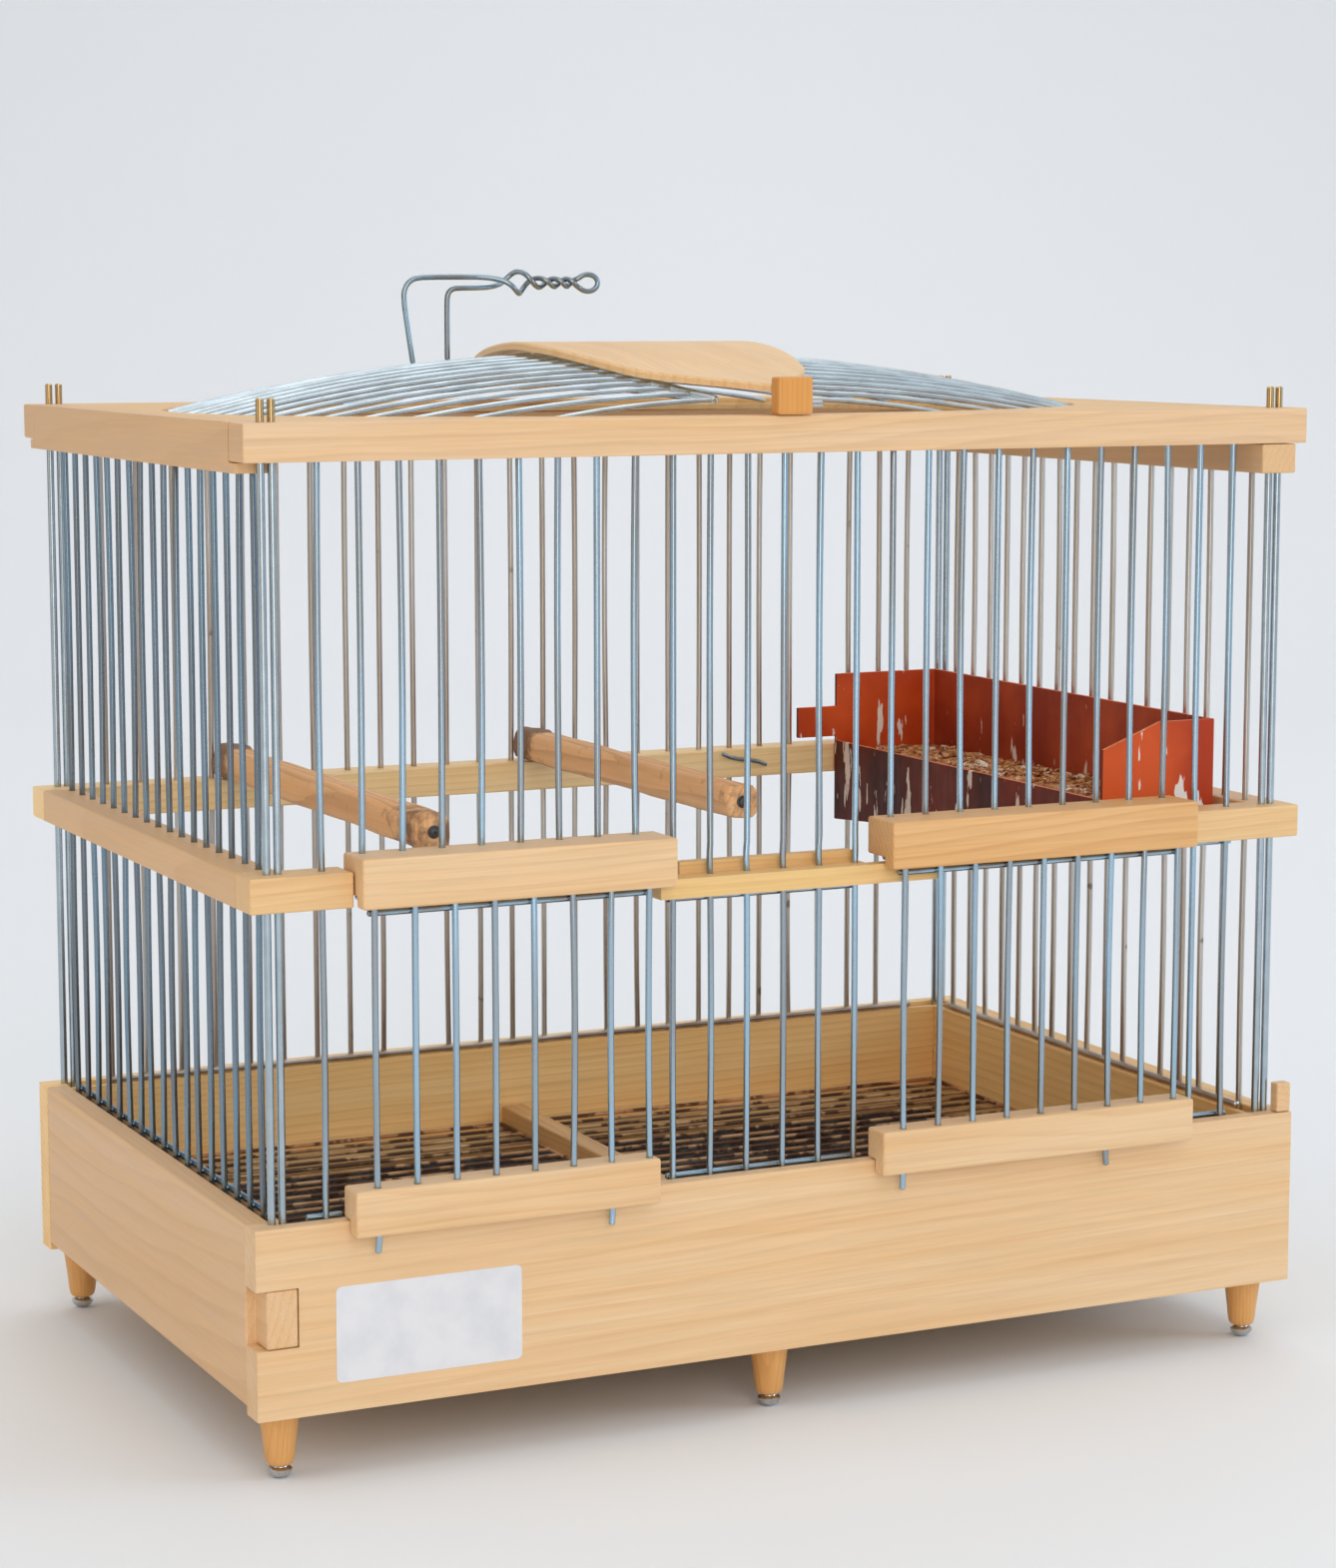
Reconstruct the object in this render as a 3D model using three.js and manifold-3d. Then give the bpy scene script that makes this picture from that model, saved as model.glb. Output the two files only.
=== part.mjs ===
// Canary breeding cage: a pine tray base on turned feet, walls and roof of galvanised wire,
// two lift-up doors, a sand tray, a hook-on seed trough, two perches and a twisted hanger.
// Millimetres, +Z up, +X along the front to the right, +Y towards the back.
import * as THREE from 'three';
import { mergeVertices } from 'three/addons/utils/BufferGeometryUtils.js';
import Module from 'manifold-3d';

const wasm = await Module();
wasm.setup();

// ---------------------------------------------------------------- driving dimensions
const LENGTH = 450;              // front board, end to end
const DEPTH = 280;               // base box, front face to back face
const MIDDLE = LENGTH / 2 - 10;  // crown, middle feet and floor divider, from the left end
const GAP = 0.3;                 // slip fit between pieces that touch

const FOOT_HEIGHT = 21;
const FOOT_TOP_RADIUS = 7.6;
const FOOT_TIP_RADIUS = 4.8;
const FOOT_INSET_X = 13;
const FOOT_INSET_Y = 14;
const GLIDE_HEIGHT = 5;
const GLIDE_RADIUS = 5.4;

const BOARD_HEIGHT = 71;
const BOARD_THICK = 12;
const SIDE_BOARD_THICK = 16;     // outer faces flush with the long boards' ends
const SIDE_BOARD_LIFT = 3;       // side boards stop short of the lower edge
const REBATE_DEPTH = 12;         // step inside the top edge that the wires stand on
const TENON_LOW = 26.5;          // side boards' tenons, above the boards' lower edge
const TENON_HIGH = 48;
const TENON_INSET = 4;           // from the side boards' outer faces
const TENON_DEPTH = 8;           // of the three hidden ones; the front left one runs through
const PANEL_THICK = 5;
const CLEAT_HEIGHT = 7.4;
const CLEAT_WIDTH = 8;
const CLEAT_TOP = 33.4;          // above the boards' lower edge
const TRAY_SLOT_HEIGHT = 19;
const TRAY_WALL = 1.2;
const TRAY_HEIGHT = 14.5;
const TRAY_SIDE_ROOM = 3;
const PULL_RADIUS = 7;
const PULL_LENGTH = 10;

const WIRE = 2.5;                // wall wire diameter
const FLOOR_WIRE = 1.6;
const ROOF_WIRE = 2;
const CROSS_PAST = 2;            // cross wires, past the outermost uprights
const LEFT_CROSS_PAST = 7;
const RIGHT_CROSS_PAST = 4;
const RIDGE_WIRE = 3.2;          // joins the roof wires under the crown board
const FRONT_LINE = 8;            // front and back wires, in from the outer faces
const SIDE_LINE = 11;            // side wires, in from the ends
const FIRST_FRONT_WIRE = 30;
const FRONT_WIRES = 26;
const FIRST_SIDE_WIRE = 22;
const SIDE_WIRES = 17;
const FLOOR_WIRES = 24;
const WIRE_SIDES = 5;            // facets round a wire
const WELD_BITE = 0.9;           // how far a cross wire is sunk into the wires it joins

const LOWER_BAY = 115;           // top of the boards to the middle rails
const UPPER_BAY = 147;           // middle rails to the top rails
const RAIL_WIDTH = 16;
const MID_RAIL_HEIGHT = 13;
const TOP_RAIL_HEIGHT = 14;
const LEFT_RAIL_DROP = 4;        // how much deeper the top side rails are
const RIGHT_RAIL_DROP = 12;
const LEFT_RAIL_REACH = 10;      // front end of the left one's deeper part
const RIGHT_RAIL_INSET = 5;
const GROOVE_DEPTH = 8;          // ploughed under the top rails for the wire ends
const GROOVE_PAST = 4;           // past the outermost wires
const STUB_TENON = 6;
const TENON_SHOULDER = 4;
const CENTRE_PAST = [8.8, 3.6];  // how far the centre rail runs past its outer wires
const CENTRE_BACK_INSET = [13, 3];
const CENTRE_TONGUE = 31;        // thin end that runs under the right door's bar
const CENTRE_TONGUE_WIDTH = 6;
const CENTRE_LEDGE_HEIGHT = 7.5;
const CENTRE_BACK_HEIGHT = 12;
const CENTRE_BACK_THICK = 5;
const CENTRE_DROP = 6;           // its underside, below the other middle rails

const ROD = 3;                   // corner rods
const ROD_SPREAD = 4.2;          // between the two legs
const ROD_TIP = 8.5;             // above the top rails
const ROD_LINE_Y = 7.5;
const ROD_FOOT = 4.5;            // start of the bend, above the boards' lower edge

const BOARD_SEAT = 5;            // roof board's seat in the top rails
const ROOF_BOARD_THICK = 5;
const ROOF_HALF_LENGTH = MIDDLE - 25;      // oval opening
const ROOF_HALF_WIDTH = DEPTH / 2 - 22;
const ROOF_OVAL_POWER = 2.2;
const ROOF_RIM = 4;              // step round the opening that takes the wire ends
const ROOF_RIM_DEPTH = 2.6;
const ROOF_RISE = 23;
const ROOF_ARCH_POWER = 2.2;     // across, from rim to rim
const ROOF_SPINE_POWER = 1.6;    // along the crown board
const ROOF_WIRES = 24;
const ROOF_SPLIT = 12;           // wires in the front half of the roof
const ROOF_STEPS = 6;
const CROWN_THICK = 5;
const CROWN_END_HALF = 9;
const CROWN_MID_HALF = 52;
const CROWN_BLOCK = [18, 16, 14];
const CROWN_LAP = 8;             // how far the wires run in under the crown board

// Each door's first and last wire, its two pin wires, and how far its bars run past the outer ones.
const DOORS = [
  { name: 'left', wires: [1, 8], pins: [1, 7], lowerPast: [9.6, 3.2], upperPast: [5.6, 10.2] },
  { name: 'right', wires: [15, 23], pins: [15, 21], lowerPast: [10.6, 7.6], upperPast: [7.4, 7.2] },
];
const DOOR_PROUD = 8;            // bars stand out in front of the boards
const DOOR_LINE = 4;             // door wires, in front of the boards' face
const DOOR_LIP_THICK = 7.4;
const DOOR_LOWER_BACK = 5.4;     // how far the lower bar sits in over the board
const DOOR_LOWER_HEIGHT = 12;
const DOOR_LOWER_LIP = 5;        // hangs below the board's top edge
const DOOR_UPPER_BACK = 13;
const DOOR_UPPER_HEIGHT = 14.5;
const DOOR_UPPER_LIP = 4;
const DOOR_UPPER_RAISE = 4;      // bar's back part, above the middle rails' underside
const DOOR_PIN = 7;
const DOOR_WIRE_GRIP = 9;
const DOOR_JOIN_DROP = 2;

const PERCH = 14;
const PERCH_CORNER = 4.5;
const PERCH_LEFT_X = 84;
const PERCH_LEFT_FRONT = 34;
const PERCH_RIGHT_FRONT = 58;
const PERCH_BACK_LAP = 6;
const PERCH_SCREW_RADIUS = 1.6;
const PERCH_SCREW_DEPTH = 9;

const TROUGH_WIDTH = 54;
const TROUGH_FRONT = 32;
const TROUGH_BACK = DEPTH - 18;
const TROUGH_ROOM = 4;           // to the right middle rail
const TROUGH_WALL = 2;
const TROUGH_BELOW = 22;         // below the middle rails' underside, at the back
const TROUGH_SLOPE = 12;         // how much higher the bottom is at the front
const TROUGH_ABOVE = 33;         // above their top
const TROUGH_INNER = 2;          // low inner wall, above their top
const TROUGH_HOOK = [60, 2, 3.4];
const TROUGH_TAB = [20, 14];
const SEED_BELOW = 3;            // seed, below the low wall's edge
const SEED_HEAP = 2.4;

const HANGER_WIRE = 2.4;
const HANGER_FEET = [-86, -71];  // from the middle
const HANGER_ROOF_WIRE = 14;     // the roof wire that its feet stand on
const HANGER_RISE = 50;          // twisted part, above the top rails
const HANGER_TWIST = 46;         // its length
const HANGER_EYE = 4.6;

const DIVIDER = [10, 9];
const CORNER_BLOCK = [6.6, 5, 12];

// ---------------------------------------------------------------- levels and lines
const baseZ = FOOT_HEIGHT + GLIDE_HEIGHT;
const boardTop = baseZ + BOARD_HEIGHT;
const midZ = boardTop + LOWER_BAY;
const midTop = midZ + MID_RAIL_HEIGHT;
const topZ = midTop + UPPER_BAY;
const topTop = topZ + TOP_RAIL_HEIGHT;
const cleatTop = baseZ + CLEAT_TOP;
const ledgeZ = boardTop - REBATE_DEPTH;
const r = WIRE / 2;
const joinOffset = WIRE - WELD_BITE;
const frontPitch = (LENGTH - 2 * FIRST_FRONT_WIRE) / (FRONT_WIRES - 1);
const sidePitch = (DEPTH - 2 * FIRST_SIDE_WIRE) / (SIDE_WIRES - 1);
const frontWireX = (k) => FIRST_FRONT_WIRE + k * frontPitch;
const sideWireY = (k) => FIRST_SIDE_WIRE + k * sidePitch;
const range = (a, b) => Array.from({ length: b - a + 1 }, (_, i) => a + i);
const wireBottom = ledgeZ + GAP;
const frontWireTop = topZ + GROOVE_DEPTH - GAP;
const footJoinZ = boardTop + r * 0.2;
const underMidZ = midZ - GAP - r;
const slopeAt = (y) => TROUGH_SLOPE * (TROUGH_BACK - y) / (TROUGH_BACK - TROUGH_FRONT);

// ---------------------------------------------------------------- materials
const mat = (color, roughness, metalness = 0) => (
  new THREE.MeshStandardMaterial({ color, roughness, metalness }));
const pine = mat(0xe0b888, 0.55);
const pineRail = mat(0xe2b983, 0.5);
const plywood = mat(0xcda06a, 0.7);
const beech = mat(0xd99a57, 0.5);
const bark = mat(0xb98255, 0.8);
const galvanised = mat(0x9aa9b3, 0.38, 0.9);
const rusted = mat(0x7d5e4c, 0.7, 0.6);
const brightSteel = mat(0xb9bcc0, 0.25, 1);
const redPlastic = mat(0x9c3418, 0.35);
const seedMix = mat(0xa8714a, 0.9);
const zincSheet = mat(0xa9adad, 0.45, 0.8);

// ---------------------------------------------------------------- solids
function solid(geometry) {
  geometry.deleteAttribute('normal');
  geometry.deleteAttribute('uv');
  const merged = mergeVertices(geometry, 1e-4);
  return new wasm.Manifold(new wasm.Mesh({
    numProp: 3,
    vertProperties: Float32Array.from(merged.attributes.position.array),
    triVerts: Uint32Array.from(merged.index.array),
  }));
}

function box(x0, x1, y0, y1, z0, z1) {
  const geometry = new THREE.BoxGeometry(x1 - x0, y1 - y0, z1 - z0);
  return solid(geometry.translate((x0 + x1) / 2, (y0 + y1) / 2, (z0 + z1) / 2));
}

// A box whose underside climbs towards the front.
function slopedBox(x0, x1, y0, y1, z0, z1) {
  const geometry = new THREE.BoxGeometry(x1 - x0, y1 - y0, z1 - z0);
  const place = geometry.translate((x0 + x1) / 2, (y0 + y1) / 2, (z0 + z1) / 2).attributes.position;
  for (let i = 0; i < place.count; i += 1) {
    if (place.getZ(i) < (z0 + z1) / 2) place.setZ(i, z0 + slopeAt(place.getY(i)));
  }
  return solid(geometry);
}

function upright(x, y, z0, z1, radius, sides = WIRE_SIDES) {
  const geometry = new THREE.CylinderGeometry(radius, radius, z1 - z0, sides);
  return solid(geometry.rotateX(Math.PI / 2).translate(x, y, (z0 + z1) / 2));
}

// A wire along a row of points, closed at both ends; radius may change from point to point.
function tube(points, radius, sides = WIRE_SIDES) {
  const radiusAt = typeof radius === 'function' ? radius : () => radius;
  const last = points.length - 1;
  const tangents = points.map((p, i) => points[Math.min(i + 1, last)].clone()
    .sub(points[Math.max(i - 1, 0)]).normalize());
  const start = Math.abs(tangents[0].z) > 0.8 ? new THREE.Vector3(1, 0, 0) : new THREE.Vector3(0, 0, 1);
  const side = start.addScaledVector(tangents[0], -start.dot(tangents[0])).normalize();
  const verts = [];
  const faces = [];
  points.forEach((p, i) => {
    side.addScaledVector(tangents[i], -side.dot(tangents[i])).normalize();
    const other = new THREE.Vector3().crossVectors(tangents[i], side);
    for (let s = 0; s < sides; s += 1) {
      const a = (s + 0.5) * 2 * Math.PI / sides;
      const v = p.clone().addScaledVector(side, radiusAt(i) * Math.cos(a));
      v.addScaledVector(other, radiusAt(i) * Math.sin(a));
      verts.push(v.x, v.y, v.z);
      if (i === last) continue;
      const here = i * sides + s;
      const next = i * sides + (s + 1) % sides;
      faces.push(here, next, here + sides, next, next + sides, here + sides);
    }
  });
  for (let s = 1; s < sides - 1; s += 1) {
    faces.push(0, s + 1, s, last * sides, last * sides + s, last * sides + s + 1);
  }
  const geometry = new THREE.BufferGeometry();
  geometry.setAttribute('position', new THREE.Float32BufferAttribute(verts, 3));
  geometry.setIndex(faces);
  return solid(geometry);
}

const at = (x, y, z) => new THREE.Vector3(x, y, z);
const straight = (a, b, radius, sides = WIRE_SIDES) => tube([a, b], radius, sides);
const join = (solids) => solids.reduce((whole, next) => whole.add(next));
const cut = (body, tools) => tools.reduce((whole, tool) => whole.subtract(tool), body);

function turned(profile, sides) {
  const points = profile.map(([radius, z]) => new THREE.Vector2(radius, z));
  return solid(new THREE.LatheGeometry(points, sides).rotateX(Math.PI / 2));
}

const cage = new THREE.Group();
const assembly = new THREE.Group();
cage.add(assembly);

function add(name, body, material) {
  const found = body.getMesh();
  const geometry = new THREE.BufferGeometry();
  geometry.setAttribute('position', new THREE.BufferAttribute(Float32Array.from(found.vertProperties), 3));
  geometry.setIndex(new THREE.BufferAttribute(Uint32Array.from(found.triVerts), 1));
  geometry.computeVertexNormals();
  const mesh = new THREE.Mesh(geometry, material);
  mesh.name = name;
  assembly.add(mesh);
}

// ---------------------------------------------------------------- corner rods
// Each is one wire bent into a long staple, driven up through the base board, the middle
// rail and the top rail, so that its two domed tips stand out on top.
const corners = [
  { name: 'front_left', x: SIDE_LINE, y: ROD_LINE_Y },
  { name: 'front_right', x: LENGTH - SIDE_LINE, y: ROD_LINE_Y },
  { name: 'back_left', x: SIDE_LINE, y: DEPTH - ROD_LINE_Y },
  { name: 'back_right', x: LENGTH - SIDE_LINE, y: DEPTH - ROD_LINE_Y },
];
const rodHoles = [];
for (const { name, x, y } of corners) {
  const half = ROD_SPREAD / 2;
  const foot = baseZ + ROD_FOOT;
  const tip = topTop + ROD_TIP;
  const bend = range(0, 4).map((i) => {
    const a = Math.PI + i * Math.PI / 4;
    return at(x + half * Math.cos(a), y, foot + half * Math.sin(a));
  });
  const path = [at(x - half, y, tip), at(x - half, y, tip - ROD / 3), ...bend,
    at(x + half, y, tip - ROD / 3), at(x + half, y, tip)];
  const radiusAt = (i) => ROD / 2 * (i % (path.length - 1) === 0 ? 0.55 : 1);
  add(`corner_rod_${name}`, tube(path, radiusAt, 7), brightSteel);
  for (const legX of [x - half, x + half]) {
    rodHoles.push(upright(legX, y, foot, tip, ROD / 2 + GAP, 7));
  }
  const slot = half + ROD / 2 + GAP;
  rodHoles.push(box(x - slot, x + slot, y - ROD / 2 - GAP, y + ROD / 2 + GAP, baseZ - 1, foot + GAP));
}

// ---------------------------------------------------------------- base box
const sideInner = [SIDE_BOARD_THICK, LENGTH - SIDE_BOARD_THICK];
const blindEnd = BOARD_THICK - TENON_DEPTH;
const rebateWall = r + 0.35;     // from the wire line to the rebate's wall
const slotZ = [baseZ + PANEL_THICK, baseZ + PANEL_THICK + TRAY_SLOT_HEIGHT];

// Front and back boards: socketed near the ends for the side boards' tenons, rebated along the
// top inside edge, with a cleat glued on to carry the floor grilles. face is the outer face,
// inward the direction to the inside of the box. One end of the front board is notched right
// through, so that a tenon shows there.
function longBoard(face, inward, notched) {
  const span = (a, b) => [face + inward * a, face + inward * b].sort((p, q) => p - q);
  const plank = box(0, LENGTH, ...span(0, BOARD_THICK), baseZ, boardTop);
  const cleat = box(sideInner[0] + GAP, sideInner[1] - GAP,
    ...span(BOARD_THICK - 1, BOARD_THICK + CLEAT_WIDTH), cleatTop - CLEAT_HEIGHT, cleatTop);
  const tenonZ = [baseZ + TENON_LOW - GAP, baseZ + TENON_HIGH + GAP];
  const socketY = span(blindEnd - GAP, BOARD_THICK + 1);
  const leftSocket = notched ? box(-1, sideInner[0] + GAP, ...span(-1, BOARD_THICK + 1), ...tenonZ)
    : box(TENON_INSET - GAP, sideInner[0] + GAP, ...socketY, ...tenonZ);
  const rightSocket = box(sideInner[1] - GAP, LENGTH - TENON_INSET + GAP, ...socketY, ...tenonZ);
  const rebate = box(SIDE_LINE - rebateWall, LENGTH - SIDE_LINE + rebateWall,
    ...span(FRONT_LINE - rebateWall, BOARD_THICK + 1), ledgeZ, boardTop + 1);
  return cut(plank.add(cleat), [leftSocket, rightSocket, rebate, ...rodHoles]);
}

add('base_front_board', longBoard(0, 1, true), pine);
const traySlot = box(sideInner[0] + 1, sideInner[1] - 1, DEPTH - BOARD_THICK - 1, DEPTH + 1, ...slotZ);
add('base_back_board', longBoard(DEPTH, -1, false).subtract(traySlot), pine);

for (const [name, outer, inward, front] of [['left', 0, 1, 0], ['right', LENGTH, -1, blindEnd]]) {
  const span = (a, b) => [outer + inward * a, outer + inward * b].sort((p, q) => p - q);
  const plank = box(...span(0, SIDE_BOARD_THICK), BOARD_THICK + GAP, DEPTH - BOARD_THICK - GAP,
    baseZ + SIDE_BOARD_LIFT, boardTop);
  const tenons = box(...span(TENON_INSET, SIDE_BOARD_THICK), front, DEPTH - blindEnd,
    baseZ + TENON_LOW, baseZ + TENON_HIGH);
  const rebate = box(...span(SIDE_LINE - rebateWall, SIDE_BOARD_THICK + 1), 0, DEPTH, ledgeZ, boardTop + 1);
  add(`base_${name}_board`, cut(plank.add(tenons), [rebate, ...rodHoles]), pine);
}

add('base_bottom_panel', box(sideInner[0] + GAP, sideInner[1] - GAP, BOARD_THICK + GAP,
  DEPTH - BOARD_THICK - GAP, baseZ, baseZ + PANEL_THICK - GAP), plywood);

// A small block glued on the front board, against the right-hand corner rod.
const blockX = LENGTH - SIDE_LINE + ROD_SPREAD / 2 + ROD / 2 + GAP;
add('corner_block', box(blockX, blockX + CORNER_BLOCK[0], GAP, GAP + CORNER_BLOCK[1],
  boardTop + GAP, boardTop + GAP + CORNER_BLOCK[2]), pine);

// ---------------------------------------------------------------- feet
// Turned legs, each with a domed steel glide nailed in its end.
const footShape = [
  [0, 0], [GLIDE_RADIUS * 0.6, 0], [GLIDE_RADIUS, 2.2], [GLIDE_RADIUS * 0.7, 4.2],
  [FOOT_TIP_RADIUS - 0.6, GLIDE_HEIGHT], [FOOT_TIP_RADIUS + 1.2, GLIDE_HEIGHT + 9],
  [FOOT_TOP_RADIUS, baseZ - 3], [FOOT_TOP_RADIUS, baseZ - GAP], [0, baseZ - GAP],
];
for (const [row, y] of [['front', FOOT_INSET_Y], ['back', DEPTH - FOOT_INSET_Y]]) {
  for (const [place, x] of [['left', FOOT_INSET_X], ['middle', MIDDLE], ['right', LENGTH - FOOT_INSET_X]]) {
    add(`foot_${row}_${place}`, turned(footShape, 10).translate([x, y, 0]), beech);
  }
}

// ---------------------------------------------------------------- sand tray
const trayX = [sideInner[0] + TRAY_SIDE_ROOM, sideInner[1] - TRAY_SIDE_ROOM];
const trayY = [BOARD_THICK + 2, DEPTH - BOARD_THICK - GAP];
const trayZ = slotZ[0] + GAP;
const pan = box(...trayX, ...trayY, trayZ, trayZ + TRAY_HEIGHT);
const hollow = box(trayX[0] + TRAY_WALL, trayX[1] - TRAY_WALL, trayY[0] + TRAY_WALL, trayY[1] - TRAY_WALL,
  trayZ + TRAY_WALL, trayZ + TRAY_HEIGHT + 1);
add('sand_tray', pan.subtract(hollow), zincSheet);

const trayFrontZ = [trayZ, slotZ[1] - GAP];
const pullShape = [[0, 0], [PULL_RADIUS * 0.45, 0], [PULL_RADIUS * 0.45, 3], [PULL_RADIUS * 0.9, 5],
  [PULL_RADIUS, 7.5], [PULL_RADIUS * 0.7, PULL_LENGTH], [0, PULL_LENGTH]];
const pull = turned(pullShape, 12).rotate([-90, 0, 0])
  .translate([MIDDLE, DEPTH - 1, (trayFrontZ[0] + trayFrontZ[1]) / 2]);
const trayFront = box(sideInner[0] + 1 + GAP, sideInner[1] - 1 - GAP, DEPTH - BOARD_THICK, DEPTH,
  ...trayFrontZ);
add('tray_front', trayFront.add(pull), pine);

// ---------------------------------------------------------------- floor grilles and divider
const dividerX = [MIDDLE - DIVIDER[0] / 2, MIDDLE + DIVIDER[0] / 2];
const insideY = [BOARD_THICK + 2 * GAP, DEPTH - BOARD_THICK - 2 * GAP];
add('floor_divider', box(...dividerX, ...insideY, cleatTop + GAP, cleatTop + GAP + DIVIDER[1]), pine);

const fr = FLOOR_WIRE / 2;
const grilleSpans = [
  ['left', sideInner[0] + 1, dividerX[0] - GAP],
  ['right', dividerX[1] + GAP, sideInner[1] - 1],
];
for (const [name, x0, x1] of grilleSpans) {
  const z = cleatTop + GAP + fr;
  const pitch = (insideY[1] - insideY[0] - 2 * FLOOR_WIRE) / (FLOOR_WIRES - 1);
  const rods = range(0, FLOOR_WIRES - 1).map((k) => {
    const y = insideY[0] + FLOOR_WIRE + k * pitch;
    return straight(at(x0 + fr, y, z), at(x1 - fr, y, z), fr, 4);
  });
  const bearers = [x0 + fr, x1 - fr].map((x) => (
    box(x - fr, x + fr, ...insideY, z - fr, z + fr)));
  add(`floor_grille_${name}`, join([...bearers, ...rods]), rusted);
}

// ---------------------------------------------------------------- wire walls
const backLine = DEPTH - FRONT_LINE;

function frontWires(name, ks, bottom, joins, y = FRONT_LINE, inward = 1, past = CROSS_PAST) {
  const uprights = ks.map((k) => upright(frontWireX(k), y, bottom, frontWireTop, r));
  const crossY = y + inward * joinOffset;
  const crossings = joins.map((z) => straight(at(frontWireX(ks[0]) - past, crossY, z),
    at(frontWireX(ks[ks.length - 1]) + past, crossY, z), r));
  add(name, join([...uprights, ...crossings]), galvanised);
}

function sideWires(name, x, inward, top) {
  const uprights = range(0, SIDE_WIRES - 1).map((k) => upright(x, sideWireY(k), wireBottom, top, r));
  const crossX = x + inward * joinOffset;
  const cross = straight(at(crossX, sideWireY(0) - CROSS_PAST, footJoinZ),
    at(crossX, sideWireY(SIDE_WIRES - 1) + CROSS_PAST, footJoinZ), r);
  add(name, join([cross, ...uprights]), galvanised);
}

const centreRailZ = midZ - CENTRE_DROP;
const underCentreZ = centreRailZ - GAP - r;
const barBackZ = midZ + DOOR_UPPER_RAISE;
const overDoorBottom = barBackZ - GAP - WIRE - 1;
const overDoorJoinZ = barBackZ - GAP - r;
const [leftDoor, rightDoor] = DOORS;
const pastWires = (ends, past) => [frontWireX(ends[0]) - past[0], frontWireX(ends[1]) + past[1]];
const upperBarX = (door) => pastWires(door.wires, door.upperPast);
const allFront = range(0, FRONT_WIRES - 1);
const leftWires = range(0, leftDoor.wires[0] - 1);
const centreWires = range(leftDoor.wires[1] + 1, rightDoor.wires[0] - 1);
const rightWires = range(rightDoor.wires[1] + 1, FRONT_WIRES - 1);

sideWires('left_wire_wall', SIDE_LINE, 1, topZ - LEFT_RAIL_DROP + GROOVE_DEPTH - GAP);
sideWires('right_wire_wall', LENGTH - SIDE_LINE, -1, topZ - RIGHT_RAIL_DROP + GROOVE_DEPTH - GAP);
frontWires('back_wire_wall', allFront, wireBottom, [footJoinZ], backLine, -1);
frontWires('front_wires_left', leftWires, wireBottom, [footJoinZ], FRONT_LINE, 1, LEFT_CROSS_PAST);
frontWires('front_wires_centre', centreWires, wireBottom, [footJoinZ, underCentreZ]);
frontWires('front_wires_right', rightWires, wireBottom, [footJoinZ, underMidZ], FRONT_LINE, 1,
  RIGHT_CROSS_PAST);
for (const door of DOORS) {
  frontWires(`front_wires_over_${door.name}_door`, range(...door.wires), overDoorBottom, [overDoorJoinZ]);
}

// Holes for the wires, as tools to cut the rails with.
const wireHole = (x, y, z0, z1) => upright(x, y, z0, z1, r + GAP);
const frontHoles = (ks, y, z0, z1) => ks.map((k) => wireHole(frontWireX(k), y, z0, z1));
const sideHoles = (x, z0, z1) => range(0, SIDE_WIRES - 1).map((k) => wireHole(x, sideWireY(k), z0, z1));

// ---------------------------------------------------------------- middle rails
const railEnds = [RAIL_WIDTH + GAP, DEPTH - RAIL_WIDTH - GAP];

function sideRail(x0, x1, z0, z1) {
  const third = (z1 - z0) / 3;
  const tenon = box(x0 + TENON_SHOULDER, x1 - TENON_SHOULDER, railEnds[0] - STUB_TENON,
    railEnds[1] + STUB_TENON, z0 + third, z1 - third);
  return box(x0, x1, ...railEnds, z0, z1).add(tenon);
}

function tenonSockets(x0, x1, z0, z1) {
  const third = (z1 - z0) / 3;
  const xs = [x0 + TENON_SHOULDER - GAP, x1 - TENON_SHOULDER + GAP];
  const zs = [z0 + third - GAP, z1 - third + GAP];
  return [
    box(...xs, railEnds[0] - STUB_TENON - GAP, RAIL_WIDTH + 1, ...zs),
    box(...xs, DEPTH - RAIL_WIDTH - 1, railEnds[1] + STUB_TENON + GAP, ...zs),
  ];
}

const midSpan = [midZ, midTop];
const through = [midZ - 1, midTop + 1];
const leftRailX = [0, RAIL_WIDTH];
const rightRailX = [LENGTH - RAIL_WIDTH, LENGTH];
const midSockets = [leftRailX, rightRailX].flatMap((xs) => tenonSockets(...xs, ...midSpan));
const midCuts = [...midSockets, ...rodHoles];

add('mid_rail_left', cut(sideRail(...leftRailX, ...midSpan), sideHoles(SIDE_LINE, ...through)), pineRail);
add('mid_rail_right', cut(sideRail(...rightRailX, ...midSpan),
  sideHoles(LENGTH - SIDE_LINE, ...through)), pineRail);
add('mid_rail_back', cut(box(0, LENGTH, DEPTH - RAIL_WIDTH, DEPTH, ...midSpan),
  [...frontHoles(allFront, backLine, ...through), ...midCuts]), pineRail);
add('mid_rail_front_left', cut(box(0, upperBarX(leftDoor)[0] - 2 * GAP, 0, RAIL_WIDTH, ...midSpan),
  [...frontHoles(leftWires, FRONT_LINE, ...through), ...midCuts]), pineRail);
add('mid_rail_front_right', cut(box(upperBarX(rightDoor)[1] + 2 * GAP, LENGTH, 0, RAIL_WIDTH, ...midSpan),
  [...frontHoles(rightWires, FRONT_LINE, ...through), ...midCuts]), pineRail);

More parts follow.
